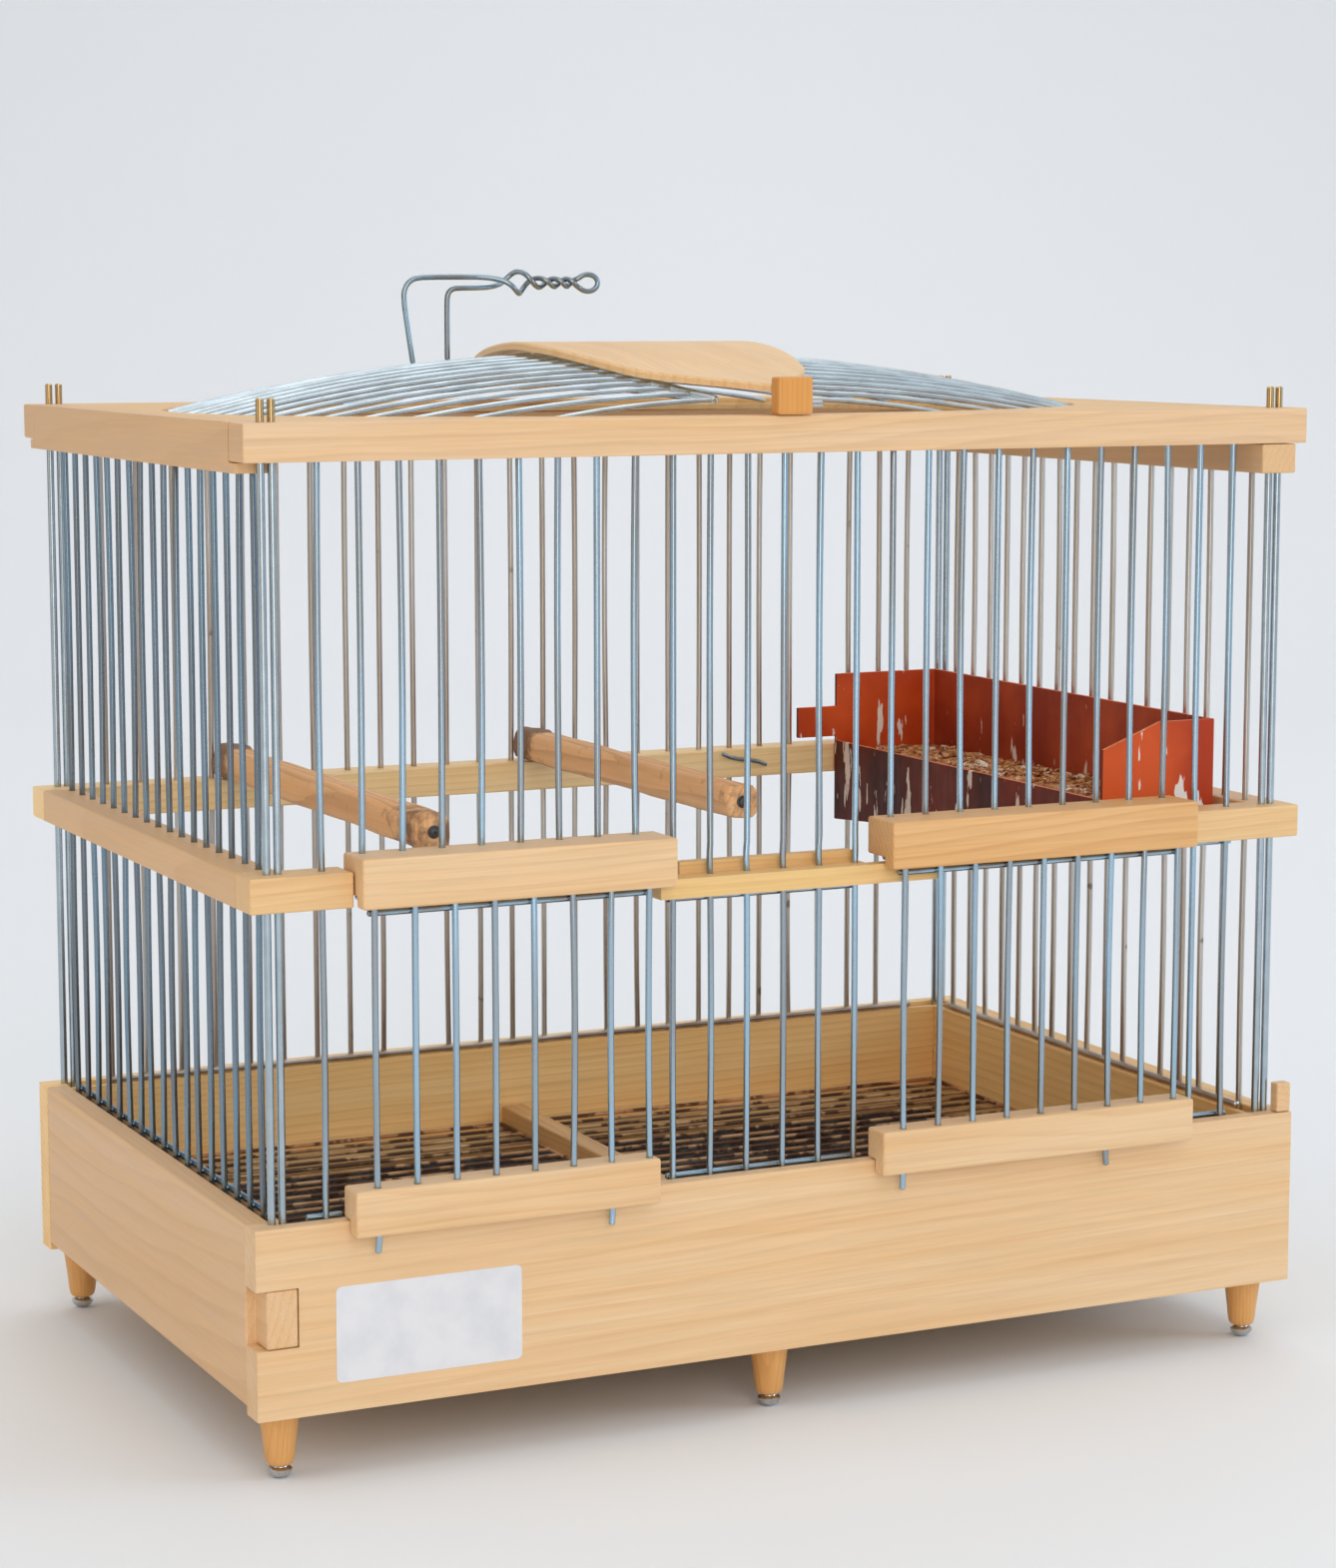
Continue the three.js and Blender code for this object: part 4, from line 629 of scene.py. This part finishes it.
for side, x0, x1, x in (("left", 0, LEFT_IN, 11), ("right", RIGHT_IN, LENGTH, 439)):
    rail = wooden(f"middle_rail_{side}",
                  [(x0, x1, 16.3, 263.7, *MID), (x0 + 4, x1 - 4, 10.3, 269.7, *RAIL_TENON)],
                  holes=[(x, y, *THROUGH) for y in SIDE_Y])
    fit(rail, rail_y, "cage", "pine_rails", f"mid_rail_{side}")
back_rail = wooden("middle_rail_back", [(0, LENGTH, DEPTH - RAIL_DEEP, DEPTH, *MID)],
                   holes=[(x, BACK_Y, *THROUGH) for x in FRONT_X] + rod_holes)
fit(back_rail, back_rail_painted_bright, "cage", "pine_rails", "mid_rail_back")
for side, x0, x1, ks in (("left", 0, 39.4, [0]), ("right", 396.6, LENGTH, [24, 25])):
    stub = wooden(f"middle_rail_front_{side}", [(x0, x1, 0, RAIL_DEEP, *MID)],
                  holes=[(FRONT_X[k], FRONT_Y, *THROUGH) for k in ks] + rod_holes)
    fit(stub, rail_x, "cage", "pine_rails", f"mid_rail_front_{side}")
centre_rail = wooden("middle_rail_front_centre", [
    (161.6, 252, 0, RAIL_DEEP, 206, 213.5), (174.6, 249, 11, RAIL_DEEP, 206, 218),
    (251, 283, 0, 6, 206, 213.5)],
    holes=[(x, FRONT_Y, 205, 226) for x in FRONT_X[9:15]], edge=1.1)
fit(centre_rail, yellow_rail, "cage", "pine_rails", "mid_rail_front_centre")


def rounded(points, passes=2):
    """Takes the corners out of a bent wire's path."""
    for _ in range(passes):
        between = [(a + b * 2 + c) / 4 for a, b, c in zip(points, points[1:], points[2:])]
        points = [points[0], *between, points[-1]]
    return points


# A loose end of wire, bent over the back rail.
clip = [at(318, 262.4, 223.5), at(322, 262.6, 220.8), at(327, 262.6, 219.8), at(332, 262.6, 220.6),
        at(337, 262.5, 219.6), at(341, 262.4, 217.2)]
fit(wires("rail_clip", [(rounded(clip), 0.9)]), bluish_zinc, "cage", "galvanised_wire")


# ------------------------------------------------------------------ top rails
# The top frame: long rails over the deeper side rails, tongued together at the corners, with
# a seat cut round the inside for the roof board. Pine like the rest, paler in front.
top_x = timber("varnished_pine_top_rails", "X", pale="#E6C6A2", line="#C29A74", ring=2.4,
               pith=(0, 0.03, -0.34))
top_y = timber("varnished_pine_top_side_rails", "Y", pale="#DDB68A", line="#CDA577", ring=3.0,
               pith=(0, 0.25, -0.35))
TOP = 386
SEAT = (11, 434, 11, 269, 380.7, 387)
PLOUGH_HALF = 1.5                    # half the width of the grooves that the wires end in
for side, y0, line in (("front", 0, FRONT_Y), ("back", DEPTH - RAIL_DEEP, BACK_Y)):
    rail = wooden(f"top_rail_{side}_long", [(0, LENGTH, y0, y0 + RAIL_DEEP, 372, TOP)],
                  [(26, 424, line - PLOUGH_HALF, line + PLOUGH_HALF, 371, 380), SEAT], rod_holes, 0.8)
    fit(rail, top_x, "cage", "pine_rails", f"top_rail_{side}")
    # The sawn ends show the darker figure of the side rails.
    rail.data.materials.append(top_y)
    for face in rail.data.polygons:
        if abs(face.normal.x) > 0.9 and abs(face.center.x) > 0.2:
            face.material_index = 1
for side, x0, x1, x, low, reach in (("left", 0, 16, 11, 368, 10), ("right", 429, 445, 439, 360, 0.3)):
    rail = wooden(f"top_rail_{side}_short", [
        (x0, x1, 16.3, 263.7, low, TOP), (x0, x1, reach, DEPTH - reach, low, 371.7),
        (x0 + 4, x1 - 4, 10.3, 269.7, 375, 378)],
        [(x - PLOUGH_HALF, x + PLOUGH_HALF, 18, 262, low - 1, low + 8), SEAT], rod_holes, 0.8)
    fit(rail, top_y, "cage", "pine_rails", f"top_rail_{side}")


# ------------------------------------------------------------------ roof
# A thin pine board with an oval opening lies in the seat. Thin wires arch over the opening
# from the rim, and end under a bent, boat-shaped crown board across the middle.
MID_X, MID_Y = 215, 140              # the middle of the opening
RIM_Z = 384.7                        # where the thin wires meet its edge
FULL = 2.2                           # how full the oval is; 2 would be an ellipse


def oval(half_x, half_y, z0, z1, steps=88):
    bm = bmesh.new()
    rows = []
    for z in (z0, z1):
        rows.append([])
        for i in range(steps):
            a = 2 * math.pi * i / steps
            c, s = [math.copysign(abs(part) ** (2 / FULL), part) for part in (math.cos(a), math.sin(a))]
            rows[-1].append(bm.verts.new(at(MID_X + half_x * c, MID_Y + half_y * s, z)))
    skin(bm, rows)
    return shaped("oval", bm)


# Resinous pine, the yellowest of the woods, with wide ring lines.
roof_pine = timber("yellow_pine_roof_board", "X", pale="#E9BF80", line="#C9944F", ring=3.2,
                   pith=(0, 0.1, -0.36))
roof_board = box_mesh("roof_panel", [(11.3, 433.7, 11.3, 268.7, 381, TOP)])
combine(roof_board, oval(190, 118, 380, 387), "DIFFERENCE")
combine(roof_board, oval(194, 122, 383.4, 387), "DIFFERENCE")
soften(roof_board, 0.5)
fit(roof_board, roof_pine, "cage", "pine_rails", "roof_board")


def crown_height(y):
    return TOP + 23 * (1 - abs((y - MID_Y) / 140) ** 1.6)


def crown_half(y):
    return 9 + 43 * (1 - ((y - MID_Y) / 140) ** 2)


def rim_half(y):
    return 192.4 * max(0.0, 1 - abs((y - MID_Y) / 120.4) ** FULL) ** (1 / FULL)


def arch(x, y):
    """The height of the roof wires at x from the middle, falling from the crown to the rim."""
    return RIM_Z + (crown_height(y) - 1.6 - RIM_Z) * (1 - abs(x / rim_half(y)) ** FULL)


# Thinner wire, painted the brightest of all as painted light, because it faces the sky; with a few brown
# specks.
roof_zinc_painted_bright = wire_finish("galvanised_roof_wire_painted_light", "#D3E2EC", "#C0CDD5", "#8A7A6C", 0.06, 0.2)
for side, way in (("left", -1), ("right", 1)):
    for row, ks in (("front", range(0, 12)), ("back", range(12, 24))):
        paths, ridge = [], []
        for k in ks:
            y = 29 + 9.652 * k
            inner, outer = max(crown_half(y) - 8, 3.2), rim_half(y) - 0.4
            lean = sway.uniform(-0.9, 0.9)
            points = []
            for i in range(17):
                x = inner + (outer - inner) * math.sin(math.pi / 2 * i / 16)
                drift = lean * math.sin(math.pi * i / 16)
                points.append(at(MID_X + way * x, y + drift, arch(x, y)))
            paths.append((points, 1.0))
            ridge.append(at(MID_X + way * inner, y, arch(inner, y)))
        ridge[0].y -= 0.0016
        ridge[-1].y += 0.0016
        paths.append((ridge, 1.6))
        fit(wires(f"roof_arches_{side}_{row}", paths), roof_zinc_painted_bright, "cage", "galvanised_wire",
            f"roof_wires_{side}_{row}")

# A pale thin board, steamed and bent: its figure runs from front to back.
crown_pine = timber("bent_pine_crown_board", "Y", pale="#EFCB9A", line="#CF9C62", ring=3.0,
                    pith=(0.1, 0.2, -0.36))
bm = bmesh.new()
rows = []
for i in range(37):
    y = 4.8 + 261.2 * i / 36
    taper = (max(0.0, 60 - y) / 60) ** 1.5
    half, z = crown_half(y) * (1 - taper) + 5 * taper, crown_height(y) + 0.3 + 8 * taper
    rows.append([bm.verts.new(at(MID_X + x, y, z + up)) for x, up in (
        (-half, 0), (half, 0), (half, 2.2), (half - 0.9, 3), (-half + 0.9, 3), (-half, 2.2))])
skin(bm, rows)
bmesh.ops.recalc_face_normals(bm, faces=bm.faces)
fit(shaped("crown", bm, 25), crown_pine, "cage", "pine_rails", "crown_board")

# The block at its front end took the same orange varnish as the feet; a steel pin holds it.
orange_block = timber("orange_varnished_end_block", "Z", pale="#DE9E50", line="#BC7C36", ring=2.0,
                      pith=(0, 0.1, 0.05), strength=0.4, shine=0.4, warm="#D48F40")
crown_block = wooden("crown_end_block", [(209.5, 224, -2, 5, 386.3, 400.3)], edge=0.9)
fit(crown_block, orange_block, "cage", "turned_beech", "crown_block")
pin = wires("crown_pin", [([at(224, 1, 390), at(229.5, 1, 390)], 1.5)])
fit(pin, nickelled_steel, "cage", "bright_steel")


# ------------------------------------------------------------------ hanger
# One length of 2.2 mm galvanised wire, both feet on a roof wire: it rises, turns over, is
# twisted round itself, opens into a loose loop on the way and ends in a small eye.
HANGER_Y, HANGER_Z = 164.13, 436
TWIST_X, TWIST_LONG, TURNS = 156, 46, 2.5
EYE_HALF, EYE_HIGH = 4.6, 3.5


def apart(s):
    """Half the space between the strands at the share s of the twist, wide in the loose loop."""
    return 1.5 + 0.7 * (1 - s) + 2.6 * math.exp(-(((s - 0.42) / 0.12) ** 2))


def strand(phase, steps=90):
    found = []
    for i in range(steps + 1):
        s = i / steps
        a = phase + 2 * math.pi * TURNS * (0.15 * s + 0.85 * s ** 2.2)
        found.append(at(TWIST_X + TWIST_LONG * s, HANGER_Y + apart(s) * math.cos(a),
                        HANGER_Z + apart(s) * math.sin(a)))
    return found


def rising(x, top, reach, lean):
    """From its foot on a roof wire up to the twist, with a shoulder of that reach."""
    level = top.z * 1000
    below, bend = at(x + lean, HANGER_Y, level - reach), at(x + lean, HANGER_Y, level)
    beside = at(x + lean + reach, HANGER_Y, level)
    foot = at(x, HANGER_Y, arch(x - MID_X, HANGER_Y) + 1.3)
    shoulder = [below * (1 - t) ** 2 + bend * 2 * t * (1 - t) + beside * t * t
                for t in (i / 8 for i in range(9))]
    return [foot, foot.lerp(below, 0.35), foot.lerp(below, 0.7)] + shoulder


# Older zinc than the walls': darker, with more brown stains.
hanger_zinc = wire_finish("galvanised_hanger_wire", "#8FA5B4", "#87929A", "#5C5149", 0.16, 0.24)
first, second = strand(math.pi / 2), strand(-math.pi / 2)
middle = TWIST_X + TWIST_LONG + EYE_HALF
eye = [at(middle + EYE_HALF * math.cos(a), HANGER_Y, HANGER_Z - EYE_HIGH * math.sin(a))
       for a in (math.pi * (1 - i / 14) * 0.84 for i in range(1, 28))]
bent = rising(129, first[0], 9, -4) + first + eye + second[::-1] + rising(144, second[0], 5, 0)[::-1]
fit(wires("twisted_hanger", [(rounded(bent), 1.1)]), hanger_zinc, "cage", "galvanised_wire", "hanger")


# ------------------------------------------------------------------ doors
# Each door is a lower bar, an upper bar and the wires between; it is lifted by its bars. The
# upper bar rides on the fixed wires, and two of the door's wires stick out below as pins.

# Varnished pine again. The right upper bar is from another stick: honey brown, with strong rings.
door_pine = timber("varnished_pine_door_bars", "X", ring=2.2, pith=(0.2, 0.05, -0.13))
honey_pine = timber("honey_varnished_pine_bar", "X", pale="#E4B57C", line="#BF8648", ring=2.4,
                    pith=(0.5, 0.04, -0.18), strength=0.5, warm="#DBA462")
DOOR_Y, DOOR_CROSS_Z = -4, 210       # the plane of a door's wires, and its cross wire's height
for side, low_x, up_x, ks, pins, wood in (
        ("left", (36, 158), (40, 165), range(1, 9), (1, 7), door_pine),
        ("right", (253.4, 396.4), (256.6, 396), range(15, 24), (15, 21), honey_pine)):
    body = f"{side}_door"
    lower = wooden(f"{body}_low_bar", [(*low_x, -8, 5.4, 97.3, 109.3), (*low_x, -8, -0.6, 92, 109.3)],
                   holes=[(FRONT_X[k], DOOR_Y, 80, 111) for k in ks], edge=1.0)
    fit(lower, door_pine, body, "pine_rails", f"{body}_lower_bar")
    upper = wooden(f"{body}_high_bar", [(*up_x, -8, 13, 216, 230.5), (*up_x, -8, -0.6, 212, 230.5)],
                   holes=[(FRONT_X[k], FRONT_Y, 215, 232) for k in ks]
                   + [(FRONT_X[k], DOOR_Y, 211, 221.3) for k in ks], edge=0.9)
    fit(upper, wood, body, "pine_rails", f"{body}_upper_bar")
    paths = [(standing(FRONT_X[k], DOOR_Y, 85 if k in pins else 96, 221, (97, 110, 212)), WALL_WIRE)
             for k in ks]
    line = DOOR_Y + BEHIND
    paths.append((crossing(at(FRONT_X[ks[0]] - 2, line, DOOR_CROSS_Z),
                           at(FRONT_X[ks[-1]] + 2, line, DOOR_CROSS_Z)), WALL_WIRE))
    grille = wires(f"{body}_grille", paths, [at(FRONT_X[k], DOOR_Y + WELD_AT, DOOR_CROSS_Z) for k in ks])
    fit(grille, bluish_zinc, body, "galvanised_wire", f"{body}_wires")


# ------------------------------------------------------------------ perches
# Two lengths of rounded raw wood laid across the cage on the middle rails, dark and dirty at
# the ends, each with a blackened screw in its front end.

# Unvarnished wood polished by feet: warm and matt, with blotches of dirt about 8 mm across.
perch_wood = timber("worn_raw_perch_wood", "Y", pale="#FACB98", line="#A66D40", ring=3.4,
                    pith=(0, 0.05, -0.2), strength=0.42, shine=0.6, warm="#EFAE6C")
tree = perch_wood.node_tree
shader, place = tree.nodes["Principled BSDF"], tree.nodes["Texture Coordinate"].outputs["Object"]
raw = shader.inputs["Base Color"].links[0].from_socket
blotch = add(tree, "TexNoise", None, {"Vector": place, "Scale": 130.0, "Detail": 4.0, "Roughness": 0.65})
run = add(tree, "SeparateXYZ", None, {0: place}).outputs[1]
back_end = add(tree, "MapRange", None, {"Value": run, 1: 0.108, 2: 0.124})
front_end = add(tree, "MapRange", None, {"Value": run, 1: -0.068, 2: -0.098, 4: 0.3})
ends = add(tree, "Math", {"operation": "ADD"}, {0: back_end, 1: front_end})
edge_of = add(tree, "Math", {"operation": "MULTIPLY_ADD"}, {0: blotch, 1: 1.1, 2: ends})
dirt = add(tree, "MapRange", None, {"Value": edge_of, 1: 0.66, 2: 0.95, 4: 0.8})
soiled = add(tree, "Mix", {"data_type": "RGBA"}, {0: dirt, 6: raw, 7: linear("#5A3826")})
feed(tree, shader, {"Base Color": soiled.outputs[2]})

# Blackened steel: dark, with a broken gleam in rubbed spots about 2 mm across.
dark_steel, tree, shader, place = finish_of("blackened_screw_steel")
scuffs = add(tree, "TexNoise", None, {"Vector": place, "Scale": 500.0, "Detail": 3.0})
tone = add(tree, "ValToRGB", None, {"Fac": scuffs}, [(0.0, "#3A3A3C"), (1.0, "#6E7074")])
dull = add(tree, "MapRange", None, {"Value": scuffs, 1: 0.3, 2: 0.7, 3: 0.3, 4: 0.55})
feed(tree, shader, {"Base Color": tone, "Roughness": dull, "Metallic": 0.9})

PERCH_Z, PERCH_HALF, PERCH_BACK, PERCH_SIDES = 232.3, 7.0, 270, 24
SCREW = [(0, 0), (2.5, 0), (2.5, 0.4), (1.8, 0.5), (1.6, 1.1), (0.5, 1.3), (0.45, 0.7), (0, 0.7)]
for side, x, y0 in (("left", 84, 34), ("right", 225, 58)):
    bm = bmesh.new()
    rows = []
    stations = [y0, y0 + 0.7] + [y0 + (PERCH_BACK - y0) * i / 40 for i in range(1, 40)] + [269.3, PERCH_BACK]
    for n, y in enumerate(stations):
        share = 0.9 if n in (0, len(stations) - 1) else 1.0
        row = []
        for i in range(PERCH_SIDES):
            a = 2 * math.pi * (i + 0.5) / PERCH_SIDES
            c, s = math.cos(a), math.sin(a)
            reach = PERCH_HALF / (c ** 4 + s ** 4) ** 0.25
            # The back end is caked with dirt above, in lumps up to a millimetre thick.
            if y > 257 and s > -0.75:
                reach += 0.9 + 0.35 * math.sin(a * 5 + y * 1.3)
            reach += 0.22 * math.sin(a * 2 + y * 0.06 + x) + 0.15 * math.sin(a * 3 - y * 0.13) - 0.3
            row.append(bm.verts.new(at(x + reach * c * share, y, PERCH_Z + reach * s * share)))
        rows.append(row)
    skin(bm, rows)
    bmesh.ops.recalc_face_normals(bm, faces=bm.faces)
    fit(shaped(f"perch_bar_{side}", bm, 50), perch_wood, "cage", "perch_wood", f"perch_{side}")
    screw = laid(turned(f"perch_screw_{side}", SCREW, sides=24), at(x, y0 + 0.1, PERCH_Z), math.pi / 2)
    fit(screw, dark_steel, "cage", "bright_steel")


# ------------------------------------------------------------------ seed trough
# Moulded in brick-red plastic with 2 mm walls: high outside and ends, low on the bird's side.
# It hooks over the right middle rail, is scuffed and splashed, and holds husky seed.
def red_moulding(name, deep, bright, drip, splashed, gloss):
    """Glossy red plastic: clouds of colour 40 mm wide, pale runs of droppings and dull patches."""
    material, tree, shader, place = finish_of(name)
    cloud = add(tree, "TexNoise", None, {"Vector": place, "Scale": 24.0, "Detail": 3.0})
    base = add(tree, "ValToRGB", None, {"Fac": cloud}, [(0.38, deep), (0.66, bright)])
    # Runs about 6 mm wide and 30 mm long, more of them low down.
    down = add(tree, "VectorMath", {"operation": "MULTIPLY"}, {0: place, 1: (170, 170, 34)})
    run = add(tree, "TexNoise", None, {"Vector": down, "Scale": 1.0, "Detail": 4.0, "Roughness": 0.55})
    level = add(tree, "SeparateXYZ", None, {0: place}).outputs[2]
    low = add(tree, "MapRange", None, {"Value": level, 1: 0.25, 2: 0.222, 4: splashed - 0.6})
    more = add(tree, "Math", {"operation": "ADD"}, {0: run, 1: low})
    mark = add(tree, "MapRange", None, {"Value": more, 1: splashed, 2: splashed + 0.02})
    colour = add(tree, "Mix", {"data_type": "RGBA"}, {0: mark, 6: base.outputs[0], 7: linear(drip)})
    dull = add(tree, "MapRange", None, {"Value": run, 1: 0.3, 2: 0.72, 3: gloss, 4: gloss + 0.25})
    bump = add(tree, "Bump", None, {"Height": run, "Strength": 0.12, "Distance": 0.0006})
    feed(tree, shader, {"Base Color": colour.outputs[2], "Roughness": dull, "Normal": bump,
                        "Specular IOR Level": 0.35})
    return material


red_plastic = red_moulding("moulded_orange_red_plastic", "#B83C12", "#DC5A22", "#F1ECE7", 0.7, 0.34)
# Darker copy for the low wall: stain from seed and droppings, and painted shade.
dirt_and_shade_plastic = red_moulding("dark_red_plastic_dirt_and_painted_shade", "#42130A", "#7C2A14", "#E2D2C8", 0.7, 0.5)
# Darker copy for the insides of the high walls: painted shade.
shaded_plastic = red_moulding("inner_red_plastic_painted_shade", "#8F3015", "#BE4F26", "#E4D6CB", 0.68, 0.45)
# Paler copy for the faces that point up: painted light.
rim_plastic = red_moulding("orange_plastic_rim_painted_light", "#D4622F", "#EE8C5C", "#F6EDE6", 0.66, 0.35)

THICK, CLIMB = 2, 18                 # its walls, and how far its bottom climbs to the front
trough = box_mesh("seed_trough_moulding", [(376, 430, 32, 262, 190, 258)])
hollow = box_mesh("hollow", [(376 + THICK, 430 - THICK, 32 + THICK, 262 - THICK, 190 + THICK, 259)])
for shape in (trough, hollow):
    for corner in shape.data.vertices:
        if corner.co.z < 0.2:
            corner.co.z += CLIMB / 1000 * (at(0, 262, 0).y - corner.co.y) / 0.230
hooks = [(428, 437.4, y - 6, y + 6, 225.3, 227.3) for y in (92, 202)]
for block in (*hooks, (356, 377, 260, 262, 229, 243)):
    combine(trough, box_mesh("block", [block]), "UNION")
combine(trough, hollow, "DIFFERENCE")
combine(trough, box_mesh("low_side", [(375, 379, 34, 260, 227, 259)]), "DIFFERENCE")
slant = box_mesh("slant", [(372, 405, 31, 35, 246, 262)])
for corner in slant.data.vertices:
    if corner.co.x > 0.17 and corner.co.z < 0.25:
        corner.co.z += 0.0125
combine(trough, slant, "DIFFERENCE")
soften(trough, 0.45)
fit(trough, red_plastic, "feeder", "red_plastic", "seed_trough")
# The low wall is painted dark, partly stain from seed and droppings and partly painted shade; the insides of
# the high ones are painted darker as painted shade; the top faces are painted paler as painted light.
for stained in (dirt_and_shade_plastic, shaded_plastic, rim_plastic):
    trough.data.materials.append(stained)
for face in trough.data.polygons:
    spot = face.center
    if face.normal.x < -0.5 and spot.x < 0.152 and spot.z > 0.19:
        face.material_index = 1
    elif face.normal.x < -0.5 and spot.x > 0.2:
        face.material_index = 2
    elif face.normal.z > 0.5 and spot.z > 0.2245:
        face.material_index = 3

# Millet, darker seeds and pale empty husks: matt cells of about 3 mm, each with its own colour.
husky_seed, tree, shader, place = finish_of("mixed_seed_and_husks")
kinds = add(tree, "TexVoronoi", None, {"Vector": place, "Scale": 330.0}).outputs
tone = add(tree, "ValToRGB", None, {"Fac": kinds["Color"]},
           [(0.2, "#8A4F28"), (0.5, "#C2834C"), (0.75, "#D5A472"), (0.86, "#EFE6DA")])
bump = add(tree, "Bump", None, {"Height": kinds["Distance"], "Strength": 0.5, "Distance": 0.0006})
feed(tree, shader, {"Base Color": tone, "Normal": bump, "Roughness": 0.62})

SEED_X, SEED_Y, SEED_WIDE, SEED_LONG = 378.3, 34.3, 49.4, 225.4
ACROSS, ALONG = 12, 48
grains = random.Random(3)


def seed_height(x, y):
    return 222.8 + 1.2 * math.sin(x / 9 + 1.3 * y / 11) * math.cos(y / 11 - 0.7 * x / 9)


def layer(bm, height):
    """Points in rows across the inside of the trough, at the height found for each place."""
    return [[bm.verts.new(at(x, y, height(x, y))) for y in
             (SEED_Y + SEED_LONG * j / ALONG for j in range(ALONG + 1))]
            for x in (SEED_X + SEED_WIDE * i / ACROSS for i in range(ACROSS + 1))]


def rim(grid):
    """The layer's outermost points, in order round it."""
    return ([row[0] for row in grid] + grid[-1][1:] + [row[-1] for row in grid[-2::-1]]
            + grid[0][-2:0:-1])


bm = bmesh.new()
heap = layer(bm, lambda x, y: seed_height(x, y) - 0.6)
sole = layer(bm, lambda x, y: 210.2 - 17.7 * (y - SEED_Y) / SEED_LONG)
for i in range(ACROSS):
    for j in range(ALONG):
        bm.faces.new((heap[i][j], heap[i + 1][j], heap[i + 1][j + 1], heap[i][j + 1]))
        bm.faces.new((sole[i][j], sole[i][j + 1], sole[i + 1][j + 1], sole[i + 1][j]))
skin(bm, [rim(sole), rim(heap)], caps=False)
for _ in range(1500):
    x, y = grains.uniform(380, 426), grains.uniform(36, 258)
    made = bmesh.ops.create_icosphere(bm, subdivisions=1, radius=0.001)
    size = grains.choice((0.9, 1.1, 1.5))
    spin = (Matrix.Rotation(grains.uniform(0, math.pi), 4, "Z")
            @ Matrix.Rotation(grains.uniform(-0.5, 0.5), 4, "Y"))
    shape = Matrix.Diagonal((2.1 * size, 0.9 * size, 0.7 * size, 1))
    lift = Matrix.Translation(at(x, y, seed_height(x, y) + grains.uniform(-0.4, 0.3)))
    bmesh.ops.transform(bm, verts=made["verts"], matrix=lift @ spin @ shape)
fit(shaped("seed_heap", bm, 60), husky_seed, "feeder", "seed_mix", "seed_bed")
